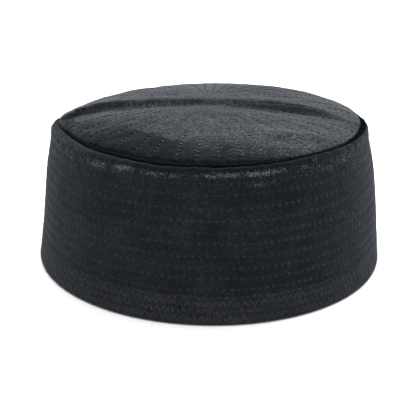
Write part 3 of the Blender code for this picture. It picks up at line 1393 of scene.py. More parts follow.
@dataclass
class QuiltedBand(Shell):
    """The stiff side band, whose velvet puffs out a little between its stitched rows."""

    form: HatForm
    segments: int = 720
    coarse: int = 12
    fine: int = 10
    tube_level: float = 0.030
    face_rings: int = 84
    lip_rings: int = 19
    lip_turn: tuple[float, float] = (8.0, 172.0)
    grip_levels: tuple[float, ...] = (0.0016, 0.006, 0.011, 0.0154)
    grip: float = 0.0013
    hem_top: float = 0.0154
    hem_gap: float = 0.0002
    inset: float = 0.0005
    wall_thickness: float = 0.0029
    velvet_depth: float = 0.0022
    backing_top: float = 0.0715
    inside_top: float = 0.0712
    foot: float = 0.0016
    shoulder_start: float = 0.0705
    lip_radius: float = 0.0824
    lip_depth: float = 0.0022
    lip_rise: float = 0.9
    lip_corner: float = 0.62
    inner_reach: float = 0.0009
    inner_relief: float = 0.3
    inner_tuck: Fade = Fade(0.0640, 0.0072)
    puff: float = 0.00024
    valley: float = 0.0010
    pucker: float = 0.00014
    lump_height: float = 0.00028
    lumpy: Fade = Fade(0.0675, 0.0045)
    flush: Ridge = Ridge(0.0154, 0.0026, 0.00024)
    uneven_height: float = 0.00012
    slow_wave: Wave = Wave(3.0, 1.7, 0.7)
    quick_wave: Wave = Wave(8.0, 2.9, 0.5)
    row_start: float = 2.4
    # Painted light and shade along the stitched rows, stronger towards the right, and painted shade at the
    # needle holes and on the lip's top at the front
    row_light: float = 0.16
    row_middle: float = 0.35
    hole_shade: float = 0.17
    right_light: float = 2.2
    right_side: Fade = Fade(0.15, 0.55)
    lip_shade: float = 0.55
    lip_top: Fade = Fade(0.0724, 0.0012)
    lip_front: Fade = Fade(0.55, 0.35)
    # Painted sheen towards the band's left and right sides, and rubbed pile with painted highlight along the
    # shoulder
    right_sheen: float = 0.34
    left_sheen: float = 0.272
    sheen_sides: Fade = Fade(0.35, 0.5)
    shoulder_wear_and_highlight: Ridge = Ridge(0.0712, 0.0014, 0.2)
    stitch_pitch: float = 0.00345
    stitch_length: float = 0.0023
    thread_width: float = 0.00042
    thread_spread: tuple[float, float] = (0.65, 1.2)
    thick_thread: float = 0.90
    thick_side: Fade = Fade(0.2, 0.5)
    thread_lift: float = 0.00006
    lift_spread: float = 0.00005
    stitch_seed: int = 3
    fuzz_seed: int = 11
    fibres: int = 40000
    fibre_levels: tuple[float, float] = (0.0640, 0.0745)
    fibre_power: float = 1.5
    fuzz: Fuzz = Fuzz("shoulder_pile", "band_velvet", (0.0004, 0.0010), (0.00010, 0.00020))
    unevenness: Ripples = Ripples(seed=7, shortest=0.018, longest=0.055)
    lip_lumps: Ripples = Ripples(seed=43, shortest=0.0022, longest=0.0065)

    def row_line(self, row: StitchRow, number: int, bearing: np.ndarray) -> np.ndarray:
        """Works out the height of a stitched row all round.

        Args:
            row: The row.
            number: Its place from the bottom, which sets how it wanders.
            bearing: Where the height is wanted.

        Returns:
            The row's height at each bearing.
        """
        slow = np.sin(self.slow_wave.count * bearing + self.slow_wave.phase * number)
        quick = np.sin(self.quick_wave.count * bearing + self.quick_wave.phase * number * number)
        return row.height + row.wander * (self.slow_wave.size * slow + self.quick_wave.size * quick)

    def plain(self, bearing: np.ndarray, level: np.ndarray) -> np.ndarray:
        """Places points of the band's outside, without its quilting.

        Args:
            bearing: Bearing of each point.
            level: Height of each point.

        Returns:
            The points, one row each.
        """
        radius = self.form.wall.at(np.minimum(level, self.shoulder_start)) - self.inset
        reach = radius - self.lip_radius - self.inner_reach + self.form.tuck.at(np.degrees(bearing))
        return self.form.settled(bearing, radius - reach * self.rolled(level), level)

    def rolled(self, level: np.ndarray) -> np.ndarray:
        """Works out how far over the lip each height lies.

        Args:
            level: Height of each place.

        Returns:
            A share for each place, from 0 on the wall to 1 on top of the lip.
        """
        depth = self.form.wall_height - self.shoulder_start
        lift = np.clip((level - self.shoulder_start) / depth, 0.0, 1.0)
        return 1.0 - (1.0 - lift ** (2.0 / self.lip_rise)) ** (self.lip_corner / 2.0)

    def near_rows(self, bearing: np.ndarray, level: np.ndarray) -> tuple[np.ndarray, np.ndarray]:
        """Works out how near each place is to a stitched row, and where on its stitches.

        Args:
            bearing: Bearing of each place.
            level: Height of each place.

        Returns:
            The nearness, from 0 to 1, and the same times a wave from -1 at a stitch to 1 at a needle hole.
        """
        nearness, pierced = np.zeros_like(level), np.zeros_like(level)
        for number, row in enumerate(BAND_ROWS):
            pulled = np.exp(-(((level - self.row_line(row, number, bearing)) / self.valley) ** 2))
            nearness += pulled
            pierced += pulled * np.cos(self.stitch_count(row) * (bearing + math.pi) - self.row_start * number)
        return nearness, pierced

    def relief(self, bearing: np.ndarray, level: np.ndarray) -> np.ndarray:
        """Works out how far the velvet stands out.

        Args:
            bearing: Bearing of each place.
            level: Height of each place.

        Returns:
            How far it stands out there.
        """
        nearness, pierced = self.near_rows(bearing, level)
        stand = self.puff - nearness * self.puff - self.pucker * (nearness + pierced) / 2.0
        place = self.plain(bearing, level)
        lumps = self.lump_height * self.lip_lumps.at(place) * self.lumpy.at(level)
        return stand + lumps + self.flush.at(level) + self.uneven_height * self.unevenness.at(place)

    def stitch_count(self, row: StitchRow) -> int:
        """Returns how many stitches go round a row."""
        return round(TURN * float(self.form.wall.at(np.array(row.height))) / self.stitch_pitch)

    def section(self) -> np.ndarray:
        """Draws the band's closed section, up its outside, over its lip and down its inside.

        Returns:
            The radius, height, share of relief and share of the lip's tuck of each ring, one row each.
        """
        wall, top = self.form.wall, self.form.wall_height
        rows = [(wall.at(level) - self.grip, level, 0.0, 0.0) for level in self.grip_levels]
        levels = np.linspace(self.hem_top + self.hem_gap, self.shoulder_start, self.face_rings)
        rows += [(wall.at(level) - self.inset, level, 1.0, 0.0) for level in levels]
        middle = self.lip_radius + self.inner_reach
        reach = wall.at(self.shoulder_start) - self.inset - middle
        for angle in np.radians(np.linspace(*self.lip_turn, self.lip_rings)):
            across, up = math.cos(angle), math.sin(angle)
            if across > 0.0:
                level = self.shoulder_start + (top - self.shoulder_start) * up**self.lip_rise
                rows.append((middle + reach * across**self.lip_corner, level, 1.0, self.rolled(level)))
            else:
                radius = middle - self.inner_reach * abs(across) ** self.lip_corner
                share = self.inner_relief + (1.0 - self.inner_relief) * across
                rows.append((radius, top - self.lip_depth * (1.0 - up), share, 1.0))
        levels = np.linspace(self.inside_top, self.foot, self.coarse * self.fine + 1 - len(rows))
        inside = wall.at(levels) - self.wall_thickness
        rows += zip(inside, levels, np.zeros_like(levels), self.inner_tuck.at(levels))
        return np.array([[float(value) for value in row] for row in rows])

    def pile(self, bearing: np.ndarray, level: np.ndarray, share: np.ndarray) -> tuple[np.ndarray, ...]:
        """Returns how rubbed the pile is and how it leans, both with painted light and shade in them."""
        return self.wear(bearing, level) * (share > 0.0), self.lean(bearing, level)

    def build(self, materials: list[bpy.types.Material]) -> bpy.types.Object:
        """Models the band.

        Args:
            materials: The velvet and the backing cloth.

        Returns:
            The band.
        """
        piece = self.build_shell("velvet_band", self.form.wall.at(np.array(self.tube_level)), USUAL_RADIUS)
        finish_piece(piece, materials, "side_band")
        self.turn_in(piece)
        return piece

    def turn_in(self, piece: bpy.types.Object) -> None:
        """Gives the band's inside the backing cloth.

        Args:
            piece: The band.
        """
        middles = vectors(piece.data.polygons, "center")
        limit = self.form.wall.at(middles[:, 2].astype(float)) - self.velvet_depth
        inside = (np.hypot(middles[:, 0], middles[:, 1]) < limit) & (middles[:, 2] < self.backing_top)
        piece.data.polygons.foreach_set("material_index", inside.astype(np.int32))

    def lean(self, bearing: np.ndarray, level: np.ndarray) -> np.ndarray:
        """Works out the band's lean: painted light along the rows and more at the right, painted shade at the
        needle holes and the lip's front top.

        Args:
            bearing: Bearing of each place.
            level: Height of each place.

        Returns:
            The lean, from 0 where the ground is darkest to 1 where it is lightest, much of it painted light
            and shade.
        """
        nearness, pierced = self.near_rows(bearing, level)
        # Painted light: the rows are drawn lighter towards the right side
        lit = 1.0 + self.right_light * self.right_side.at(np.sin(bearing))
        rows = lit * (self.row_light * (nearness - self.row_middle) - self.hole_shade * pierced)
        return 0.5 + rows - self.lip_shade * (self.lip_top.at(level) * self.lip_front.at(np.cos(bearing)))

    def wear(self, bearing: np.ndarray, level: np.ndarray) -> np.ndarray:
        """Works out how rubbed the pile is, with painted sheen towards the sides and painted highlights on
        the shoulder.

        Args:
            bearing: Bearing of each place.
            level: Height of each place.

        Returns:
            The wear with its painted sheen and highlights, from 0 to 1.
        """
        # Painted sheen towards the sides, then rubbed pile and painted highlights along the shoulder
        side = np.where(bearing > 0.0, self.right_sheen, self.left_sheen)
        total = self.shoulder_wear_and_highlight.at(level) + side * self.sheen_sides.at(np.abs(np.sin(bearing)))
        for light_streak in SHOULDER_RUBS_AND_HIGHLIGHTS:
            total = np.maximum(total, light_streak.at(np.degrees(bearing), level))
        return np.clip(total, 0.0, 1.0)

    def build_stitches(self, template: Template, material: bpy.types.Material) -> bpy.types.Object:
        """Sews the band's rows.

        Args:
            template: One stitch.
            material: The thread.

        Returns:
            The rows of stitches.
        """
        starts, ends = [], []
        run = self.stitch_length / self.stitch_pitch
        for number, row in enumerate(BAND_ROWS):
            count = self.stitch_count(row)
            step = TURN / count
            first = step * (np.arange(count) + (1.0 - run) / 2.0) + self.row_start * number / count - math.pi
            for bearing, kept in ((first, starts), (first + step * run, ends)):
                kept.append(np.stack((bearing, self.row_line(row, number, bearing)), axis=1))
        seats = self.seats(starts, ends)
        draw = np.random.RandomState(self.stitch_seed)
        widths = self.thread_width * draw.uniform(*self.thread_spread, len(seats.lengths))
        widths *= 1.0 + self.thick_thread * self.thick_side.at(seats.middles[:, 0] / USUAL_RADIUS)
        lift = self.thread_lift + draw.uniform(-self.lift_spread, self.lift_spread, len(widths))
        return joined_copies("band_stitches", material, template, seats.lifted(lift), widths)

    def build_fuzz(self, template: Template, material: bpy.types.Material) -> bpy.types.Object:
        """Raises loose pile on the band's rubbed shoulder, its pale fibres partly painted highlight.

        Args:
            template: One fibre.
            material: The fibres' finish.

        Returns:
            The fibres.
        """
        draw = np.random.RandomState(self.fuzz_seed)
        bearing = draw.uniform(-math.pi, math.pi, self.fibres)
        level = draw.uniform(*self.fibre_levels, self.fibres)
        kept = draw.uniform(0.0, 1.0, self.fibres) < self.wear(bearing, level) ** self.fibre_power
        return self.fuzz.build(self, bearing[kept], level[kept], draw, template, material)


@dataclass
class SewnHem(Shell):
    """The strip folded round the band's lower edge and sewn down with three rows of zigzag."""

    form: HatForm
    segments: int = 960
    coarse: int = 10
    fine: int = 7
    outer_rings: int = 40
    inner_rings: int = 10
    mean_radius: float = 0.094
    height: float = 0.0154
    inner_height: float = 0.0090
    thickness: float = 0.0010
    foot_round: float = 0.0012
    inner_face: float = 0.0042
    wear: float = 0.25
    # Painted light: the pile is drawn lighter along the foot, against the shade near the floor
    foot_light: Ridge = Ridge(0.0, 0.0030, 0.5)
    zigzag_rows: tuple[float, ...] = (0.0036, 0.0073, 0.0110)
    zigzag_height: float = 0.0034
    zigzag_pitch: float = 0.0034
    zigzag_slope: float = 0.45
    zigzag_valley: Ridge = Ridge(0.0, 0.0005)
    edge_row: float = 0.0141
    edge_valley: Ridge = Ridge(0.0141, 0.0007)
    edge_run: float = 0.75
    edge_width: float = 0.75
    thread_width: float = 0.00050
    thread_spread: tuple[float, float] = (0.8, 1.15)
    thread_lift: float = 0.00006
    thread_run: float = 0.90
    stitch_seed: int = 5
    unevenly: float = 0.00026
    upright_share: float = 0.6
    quilt: float = 0.00024
    uneven_height: float = 0.00006
    unevenness: Ripples = Ripples(seed=19, shortest=0.006, longest=0.020)

    def plain(self, bearing: np.ndarray, level: np.ndarray) -> np.ndarray:
        """Returns the points of the hem's outside at these heights."""
        return self.form.settled(bearing, self.form.wall.at(level) - self.quilt, level)

    def zigzag_line(self, middle: float, shift: float, bearing: np.ndarray) -> np.ndarray:
        """Returns the height of a zigzag row at each bearing, shifted by so many zigzags."""
        phase = (bearing / TURN * self.zigzag_count() + shift) % 1.0
        return middle + self.zigzag_height * (np.abs(2.0 * phase - 1.0) - 0.5)

    def zigzag_count(self) -> int:
        """Returns how many zigzags go round the hem."""
        return round(TURN * self.mean_radius / self.zigzag_pitch)

    def relief(self, bearing: np.ndarray, level: np.ndarray) -> np.ndarray:
        """Works out how far the velvet stands out between its stitches.

        Args:
            bearing: Bearing of each place.
            level: Height of each place.

        Returns:
            How far it stands out there.
        """
        pulled = self.edge_valley.at(level)
        for number, middle in enumerate(self.zigzag_rows):
            gap = np.abs(level - self.zigzag_line(middle, 0.5 * number, bearing)) * self.zigzag_slope
            pulled = np.maximum(pulled, self.zigzag_valley.at(gap))
        uneven = self.uneven_height * self.unevenness.at(self.plain(bearing, level))
        return self.quilt * (1.0 - pulled) + uneven

    def section(self) -> np.ndarray:
        """Draws the hem's closed section, up its outer leg, round the band's edge and across its foot.

        Returns:
            The radius, height, share of relief and share of the lip's tuck, which is none, of each ring.
        """
        wall, thin, inner, foot = self.form.wall, self.thickness, self.inner_face, self.foot_round
        top, inner_top = self.height, self.inner_height - 0.0003
        rows = [(wall.at(0.0004) - 0.0006, 0.0004, 0.0), (wall.at(0.0009) - 0.0002, 0.0010, 0.4)]
        levels = np.linspace(0.0016, top - 0.0004, self.outer_rings)
        rows += [(wall.at(level) - self.quilt, level, 1.0) for level in levels]
        rows += [
            (wall.at(top) - 0.0004, top - 0.0001, 0.3),
            (wall.at(top) - 0.0006, top, 0.0),
            (wall.at(top) - 0.0009, top - 0.0002, 0.0),
        ]
        rows += [(wall.at(level) - thin, level, 0.0) for level in (0.0140, 0.0100, 0.0050, foot)]
        rows += [(wall.at(level) - inner + thin, level, 0.0) for level in (foot, 0.0050, inner_top)]
        rows += [(wall.at(self.inner_height) - inner + thin / 2.0, self.inner_height, 0.0)]
        levels = np.linspace(inner_top, 0.0009, self.inner_rings)
        rows += [(wall.at(level) - inner, level, 0.0) for level in levels]
        rows += [(wall.at(0.0003) - inner + 0.0003, 0.0003, 0.0), (wall.at(0.0) - inner + 0.0008, 0.0, 0.0)]
        insets = np.linspace(inner - 0.0012, 0.0012, self.coarse * self.fine + 1 - len(rows))
        rows += [(wall.at(0.0) - inset, 0.0, 0.0) for inset in insets]
        return np.array([[*(float(value) for value in row), 0.0] for row in rows])

    def pile(self, bearing: np.ndarray, level: np.ndarray, share: np.ndarray) -> tuple[np.ndarray, ...]:
        """Returns how rubbed the pile is, and its lean, with painted light along the foot."""
        return self.wear * share, 0.5 + self.foot_light.at(level)

    def build(self, materials: list[bpy.types.Material]) -> bpy.types.Object:
        """Models the hem.

        Args:
            materials: The hem's velvet.

        Returns:
            The hem.
        """
        piece = self.build_shell("zigzag_hem", self.mean_radius, self.mean_radius)
        finish_piece(piece, materials, "sewn_hem")
        return piece

    def build_stitches(self, template: Template, material: bpy.types.Material) -> bpy.types.Object:
        """Sews the zigzag rows and the straight row along the hem's upper edge.

        Args:
            template: One stitch.
            material: The thread.

        Returns:
            The hem's stitches.
        """
        count = self.zigzag_count()
        step = TURN / count
        starts, ends = [], []
        for number, middle in enumerate(self.zigzag_rows):
            corner = (np.arange(2 * count) / 2.0 - 0.5 * number) * step
            for bearing, kept in ((corner, starts), (corner + step / 2.0, ends)):
                kept.append(np.stack((bearing, self.zigzag_line(middle, 0.5 * number, bearing)), axis=1))
        edge = np.stack((step * np.arange(count), np.full(count, self.edge_row)), axis=1)
        starts = np.concatenate((*starts, edge))
        ends = np.concatenate((*ends, edge + (self.edge_run * step, 0.0)))
        draw = np.random.RandomState(self.stitch_seed)
        for kept in (starts, ends):
            kept += draw.normal(0.0, self.unevenly, kept.shape) * (1.0 / self.mean_radius, self.upright_share)
        seats = self.seats([starts], [ends])
        widths = self.thread_width * draw.uniform(*self.thread_spread, len(seats.lengths))
        widths[-count:] *= self.edge_width
        seats = seats.lifted(self.thread_lift, self.thread_run)
        return joined_copies("hem_stitches", material, template, seats, widths)


class CrownCloth(IntEnum):
    """The materials of the crown's faces, in the order in which the crown holds them."""

    VELVET = 0
    BACKING = 1
    # EDGE and SHADED are darker copies of the crown's velvet, for painted shade
    EDGE = 2
    SHADED = 3


@dataclass
class StitchedCrown(Face):
    """The domed velvet top, sewn in lines that meet at its middle."""

    form: HatForm
    lines: int = 44
    segments: int = 616
    coarse: int = 12
    fine: int = 13
    thickness: float = 0.0016
    inner_rings: int = 22
    puff: float = 0.00006
    dimple: float = 0.00045
    valley: float = 0.0010
    narrow_valley: float = 0.00005
    valley_share: float = 0.3
    full_spacing: float = 0.0050
    crowd_power: float = 0.6
    rim_power: float = 0.85
    wander: float = 0.010
    wander_turns: tuple[float, float, float] = (2.3, 5.0, 5.1)
    wrinkle_height: float = 0.00020
    mottle_height: float = 0.00007
    calm_middle: Fade = Fade(0.0, 0.02)
    calm_edge: Fade = Fade(0.0, 0.02)
    stitch_seed: int = 29
    hole_seed: int = 61
    stitch_pitch: float = 0.0033
    stitch_length: float = 0.0013
    first_stitch: float = 2.0
    last_stitch: float = 0.0042
    last_hole: float = 0.4
    last_reach: float = 0.995
    thread_width: float = 0.00048
    thread_spread: tuple[float, float] = (0.6, 1.25)
    # Sizes of the dark patches that paint the shadow in each needle hole
    hole_width: float = 0.00085
    hole_spread: tuple[float, float] = (0.6, 1.3)
    hole_half: tuple[float, float] = (0.28, 0.44)
    hole_flatness: float = 0.35
    usual_opening: float = 0.40
    front_opening: Patch = Patch(0.0, -0.050, 0.040, 0.040, 0, 0.95)
    cut_width: float = 0.170
    map_radius: float = 0.05
    # Painted shade in the seam along the crown's front edge: darker pile, and the edge velvet on the faces
    # nearest the seam
    edge_width: float = 0.0026
    edge_lumps: float = 0.3
    shade_lumps: float = 0.35
    edge_shade: Ridge = Ridge(1.0, 0.050, 1.2)
    # Painted shade on the fold's face, and at the fold's left end, which takes the edge velvet
    fold_shade: float = 0.22
    front_left: Fade = Fade(-56.0, 16.0)
    front_right: Fade = Fade(28.0, -20.0)
    fold_end_shade: Patch = Patch(-0.0745, -0.0065, 0.0095, 0.0046, 35, 1.0)
    shaded_above: float = 0.45
    folded_above: float = 0.5
    under_slope: float = -0.05
    wrinkles: Ripples = Ripples(seed=23, shortest=0.009, longest=0.026)
    mottle: Ripples = Ripples(seed=53, shortest=0.0028, longest=0.0080, waves=30)

    def plain(self, bearing: np.ndarray, level: np.ndarray) -> np.ndarray:
        """Returns the points of the crown's upper face, at these shares of the way in from its edge."""
        return self.form.domed(bearing, 1.0 - np.clip(level, 0.0, 1.0))

    def line_bearing(self, number: np.ndarray, reach: np.ndarray) -> np.ndarray:
        """Works out how a sewn line wanders from its straight bearing.

        Args:
            number: Which line.
            reach: Share of the way from the middle to the edge.

        Returns:
            The line's bearing there.
        """
        by_line, by_reach, aside = self.wander_turns
        wander = np.sin(by_line * number + by_reach * reach) + np.sin(aside * number)
        return (number + 0.5) * TURN / self.lines + self.wander * wander

    def relief(self, bearing: np.ndarray, level: np.ndarray) -> np.ndarray:
        """Works out how far the velvet stands out between its sewn lines.

        Args:
            bearing: Bearing of each place.
            level: Share of the way in from the edge.

        Returns:
            How far it stands out there.
        """
        reach = 1.0 - np.clip(level, 0.0, 1.0)
        distance = reach * self.form.crown_radius
        spacing = TURN * distance / self.lines
        nearest = np.rint(bearing * self.lines / TURN - 0.5)
        gap = np.full_like(bearing, 1.0)
        for step in (-1.0, 0.0, 1.0):
            line = self.line_bearing((nearest + step) % self.lines, reach)
            turn = (bearing - line + math.pi) % TURN - math.pi
            gap = np.minimum(gap, np.abs(turn) * distance)
        width = np.minimum(self.valley, self.valley_share * spacing + self.narrow_valley)
        holes = (0.5 + 0.5 * np.cos(TURN * distance / self.stitch_pitch)) ** 2
        crowding = np.minimum(1.0, spacing / self.full_spacing) ** self.crowd_power
        pulled = np.exp(-((gap / width) ** 2))
        stand = (self.puff * (0.5 - pulled) - self.dimple * holes * pulled) * crowding
        place = self.plain(bearing, level)
        creased = self.wrinkle_height * self.wrinkles.at(place) + self.mottle_height * self.mottle.at(place)
        return (stand + creased * self.calm_middle.at(distance)) * self.calm_edge.at(level)

    def section(self) -> tuple[np.ndarray, np.ndarray]:
        """Draws the crown's section: out along its inner face, then in along its upper face.

        Returns:
            The reach of each ring, and whether it is on the upper face.
        """
        upper_rings = self.coarse * self.fine + 1 - self.inner_rings
        quarter = math.pi / 2.0
        inner = np.sin(quarter * np.linspace(0.0, 1.0, self.inner_rings))
        upper = np.sin(quarter * np.linspace(1.0, 0.0, upper_rings) ** self.rim_power)
        return np.concatenate((inner, upper)), np.concatenate((np.zeros_like(inner), np.ones_like(upper)))

    def build(self, materials: list[bpy.types.Material]) -> bpy.types.Object:
        """Models the crown.

        Args:
            materials: One for each sort of cloth in it, in order.

        Returns:
            The crown.
        """
        piece = ringed_tube("velvet_crown", self.form.crown_radius, self.segments, self.coarse, self.fine)
        reach, upper = self.section()
        ring, bearing = unrolled(piece, len(reach))
        reach, upper = reach[ring], upper[ring]
        placed = self.form.domed(bearing, reach, self.thickness * (1.0 - upper))
        on_top = (upper > 0.0) & (reach > 0.001)
        placed[on_top] = self.points(bearing, 1.0 - reach)[on_top]
        set_points(piece.data, placed)
        set_pile(piece.data, np.zeros(len(placed)), self.lean(bearing, reach))
        lay_cloth_map(piece.data, bearing, reach * self.form.crown_radius, self.map_radius)
        close_poles(piece)
        smooth_piece(piece)
        finish_piece(piece, materials, "crown_panel")
        self.turn_in(piece)
        return piece

    def lean(self, bearing: np.ndarray, reach: np.ndarray) -> np.ndarray:
        """Works out how the crown's pile leans, with painted light and shade from its patches, its front edge
        and its fold.

        Args:
            bearing: Bearing of each place.
            reach: Share of the way from the middle to the edge.

        Returns:
            The lean, from 0 where the pile is darkest, much of it painted shade, to 1 where it is lightest.
        """
        x = self.form.crown_radius * reach * np.sin(bearing)
        y = -self.form.crown_radius * reach * np.cos(bearing)
        total = 0.5 + sum(patch.at(x, y) for patch in CROWN_NAP_AND_SHADE)
        # Painted shade along the front edge in the seam, and on the fold's face
        seam_shade = self.edge_shade.at(reach) * self.at_front(bearing)
        return total - seam_shade - self.fold_shade * self.form.on_fold(x, y)

    def declare_cloth(self, cloth: bpy.types.Object, sewn: list[bpy.types.Object]) -> None:
        """Does nothing; the round of velvet is sewn tight over the band.

        Args:
            cloth: The crown; not used.
            sewn: The pieces sewn on it; not used.
        """

    def at_front(self, bearing: np.ndarray) -> np.ndarray:
        """Returns how much of each place is along the front, where the turned-in edge holds painted shade."""
        turn = np.degrees(bearing)
        return self.front_left.at(turn) * self.front_right.at(turn)

    def turn_in(self, piece: bpy.types.Object) -> None:
        """Gives the crown's underside the backing cloth, and its edge and shaded parts, in painted shade,
        darker velvets with less sheen.

        Args:
            piece: The crown.
        """
        middles = vectors(piece.data.polygons, "center").astype(float)
        slopes = vectors(piece.data.polygons, "normal")
        x, y, bearing = middles[:, 0], middles[:, 1], bearings(middles)
        inset = self.form.crown_radius + self.form.spread.at(np.degrees(bearing)) - np.hypot(x, y)
        lumps = self.mottle.at(middles)
        # Painted shade: faces in the seam at the front and at the fold's left end take the edge velvet, faces
        # in the shaded patches the shaded velvet
        limit = self.edge_width * (1.0 - self.edge_lumps * (1.0 - lumps)) * self.at_front(bearing)
        ragged = 1.0 + self.shade_lumps * lumps
        shade = np.maximum.reduce([patch.at(x, y) * ragged for patch in CROWN_SHADE])
        fold_end_shade = self.fold_end_shade.at(x, y) * ragged
        kind = np.where(shade > self.shaded_above, CrownCloth.SHADED, CrownCloth.VELVET)
        kind = np.where((inset < limit) | (fold_end_shade > self.folded_above), CrownCloth.EDGE, kind)
        kind = np.where(slopes[:, 2] < self.under_slope, CrownCloth.BACKING, kind)
        piece.data.polygons.foreach_set("material_index", kind.astype(np.int32))

    def along_line(self, number: int, distance: np.ndarray) -> np.ndarray:
        """Returns the bearing and level of places on a sewn line, so far from the middle."""
        reach = np.minimum(distance / self.form.crown_radius, self.last_reach)
        return np.stack((self.line_bearing(np.full_like(reach, float(number)), reach), 1.0 - reach), axis=1)

    def build_stitches(self, template: Template, material: bpy.types.Material) -> bpy.types.Object:
        """Sews the crown's lines.

        Args:
            template: One stitch.
            material: The thread.

        Returns:
            The lines of stitches.
        """
        starts, ends = [], []
        draw = np.random.RandomState(self.stitch_seed)
        end = self.form.crown_radius - self.last_stitch
        for number in range(self.lines):
            first = self.stitch_pitch * (self.first_stitch + number % 2 + 0.5) - self.stitch_length / 2.0
            distance = np.arange(first, end, self.stitch_pitch)
            starts.append(self.along_line(number, distance))
            ends.append(self.along_line(number, distance + self.stitch_length))
        seats = self.seats(starts, ends)
        widths = self.thread_width * draw.uniform(*self.thread_spread, len(seats.lengths))
        widths *= self.openness(seats.middles)
        return joined_copies("crown_stitches", material, template, seats, widths)

    def openness(self, places: np.ndarray) -> np.ndarray:
        """Returns how far the sewn lines pull the cloth open at each point, which is most at the front."""
        return self.usual_opening + self.front_opening.at(places[:, 0], places[:, 1])

    def build_hole_shadows(self, template: Template, material: bpy.types.Material) -> bpy.types.Object:
        """Lays dark flat stitches in the needle holes between the crown's stitches, as painted shadow in the
        holes.

        Args:
            template: One stitch, which stands for the painted shadow in a hole.
            material: The dark finish of the painted shadow.

        Returns:
            The painted shadows in the needle holes.
        """
        starts, ends = [], []
        draw = np.random.RandomState(self.hole_seed)
        end = self.form.crown_radius / self.stitch_pitch - self.last_hole
        for number in range(self.lines):
            distance = self.stitch_pitch * np.arange(self.first_stitch + number % 2, end)
            half = (self.stitch_pitch - self.stitch_length) * draw.uniform(*self.hole_half, len(distance))
            starts.append(self.along_line(number, distance - half))
            ends.append(self.along_line(number, distance + half))
        seats = self.seats(starts, ends)
        widths = self.hole_width * draw.uniform(*self.hole_spread, len(seats.lengths))
        widths *= self.openness(seats.middles)
        flat = self.hole_flatness
        return joined_copies("needle_hole_shadows", material, template, seats, widths, flat)


@dataclass
class SeamWelt(Face):
    """The rolled edge in the seam between crown and band, with its pile worn into fuzz, drawn dark with
    painted seam shade.
    """

    form: HatForm
    radius: float = 0.0810
    thickness: float = 0.0021
    height: float = 0.0741
    segments: int = 540
    sides: int = 12
    lump_height: float = 0.00016
    worn: Ridge = Ridge(1.45, 0.40, 0.00026)
    fuzz_seed: int = 37
    fibres: int = 6200
    fibre_levels: tuple[float, float] = (0.08, 0.92)
    worn_share: float = 0.3
    worn_spread: float = 0.28
    fuzz: Fuzz = Fuzz("welt_pile", "welt_velvet", (0.0005, 0.0016), (0.00012, 0.00024))
    width: Course = course(WELT_COURSE, "width", DEGREES)
    shift: Course = course(WELT_COURSE, "shift", DEGREES)
    lift: Course = course(WELT_COURSE, "lift", DEGREES)
    lumps: Ripples = Ripples(seed=31, shortest=0.0016, longest=0.0050)

    def plain(self, bearing: np.ndarray, level: np.ndarray) -> np.ndarray:
        """Places points of the plain roll.

        Args:
            bearing: Bearing of each point.
            level: Where it lies, from 0 outside, over the top, to 1 inside.

        Returns:
            The points, one row each.
        """
        angle, turn = math.pi * level, np.degrees(bearing)
        half = self.thickness / 2.0 + self.width.at(turn)
        radius = self.radius + self.shift.at(turn) - self.form.tuck.at(turn)
        height = self.height + self.lift.at(turn) + self.thickness / 2.0 * np.sin(angle)
        return self.form.settled(bearing, radius + half * np.cos(angle), height)

    def relief(self, bearing: np.ndarray, level: np.ndarray) -> np.ndarray:
        """Returns how far the lumps of the worn roll stand out, which is most at the right."""
        return (self.lump_height + self.worn.at(bearing)) * self.lumps.at(self.plain(bearing, level))

    def build(self, material: bpy.types.Material) -> bpy.types.Object:
        """Models the welt.

        Args:
            material: The welt's velvet.

        Returns:
            The welt.
        """
        deselect()
        bpy.ops.mesh.primitive_torus_add(
            major_segments=self.segments,
            minor_segments=self.sides,
            major_radius=self.radius,
            minor_radius=self.thickness / 2.0,
            location=(0.0, 0.0, self.height),
        )
        piece = added("velvet_welt")
        points = coordinates(piece.data)
        reach = np.hypot(points[:, 0], points[:, 1])
        angle = np.arctan2(points[:, 2] - self.height, reach - self.radius)
        set_points(piece.data, self.points(bearings(points), angle / math.pi))
        set_pile(piece.data, np.zeros(len(points)), np.full(len(points), 0.5))
        smooth_piece(piece)
        finish_piece(piece, [material], "seam_welt")
        return piece

    def build_fuzz(self, template: Template, material: bpy.types.Material) -> bpy.types.Object:
        """Raises the welt's worn pile.

        Args:
            template: One fibre.
            material: The fibres' finish.

        Returns:
            The fibres.
        """
        draw = np.random.RandomState(self.fuzz_seed)
        everywhere = draw.uniform(-math.pi, math.pi, self.fibres)
        gathered = draw.uniform(0.0, 1.0, self.fibres) < self.worn_share
        bearing = np.where(gathered, draw.normal(self.worn.middle, self.worn_spread, self.fibres), everywhere)
        level = draw.uniform(*self.fibre_levels, self.fibres)
        return self.fuzz.build(self, bearing, level, draw, template, material)


@dataclass
class Lint:
    """The few pale hairs that lie on the band."""

    band: QuiltedBand
    parts: int = 9
    width: float = 0.00015
    lift: float = 0.00010
    overlap: float = 1.12

    def build(self, template: Template, material: bpy.types.Material) -> bpy.types.Object:
        """Lays the hairs.

        Args:
            template: One stitch, which each short part of a hair is copied from.
            material: The lint's finish.

        Returns:
            The hairs.
        """
        starts, ends = [], []
        share = np.linspace(0.0, 1.0, self.parts + 1)
        for hair in LINT:
            bearing = hair.bearing + (hair.far_bearing - hair.bearing) * share
            bearing = np.radians(bearing) + hair.bow / USUAL_RADIUS * np.sin(math.pi * share)
            path = np.stack((bearing, hair.height + (hair.far_height - hair.height) * share), axis=1)
            starts.append(path[:-1])
            ends.append(path[1:])
        seats = self.band.seats(starts, ends).lifted(self.lift, self.overlap)
        widths = np.full(len(seats.lengths), self.width)
        return joined_copies("lint", material, template, seats, widths, 1.0)


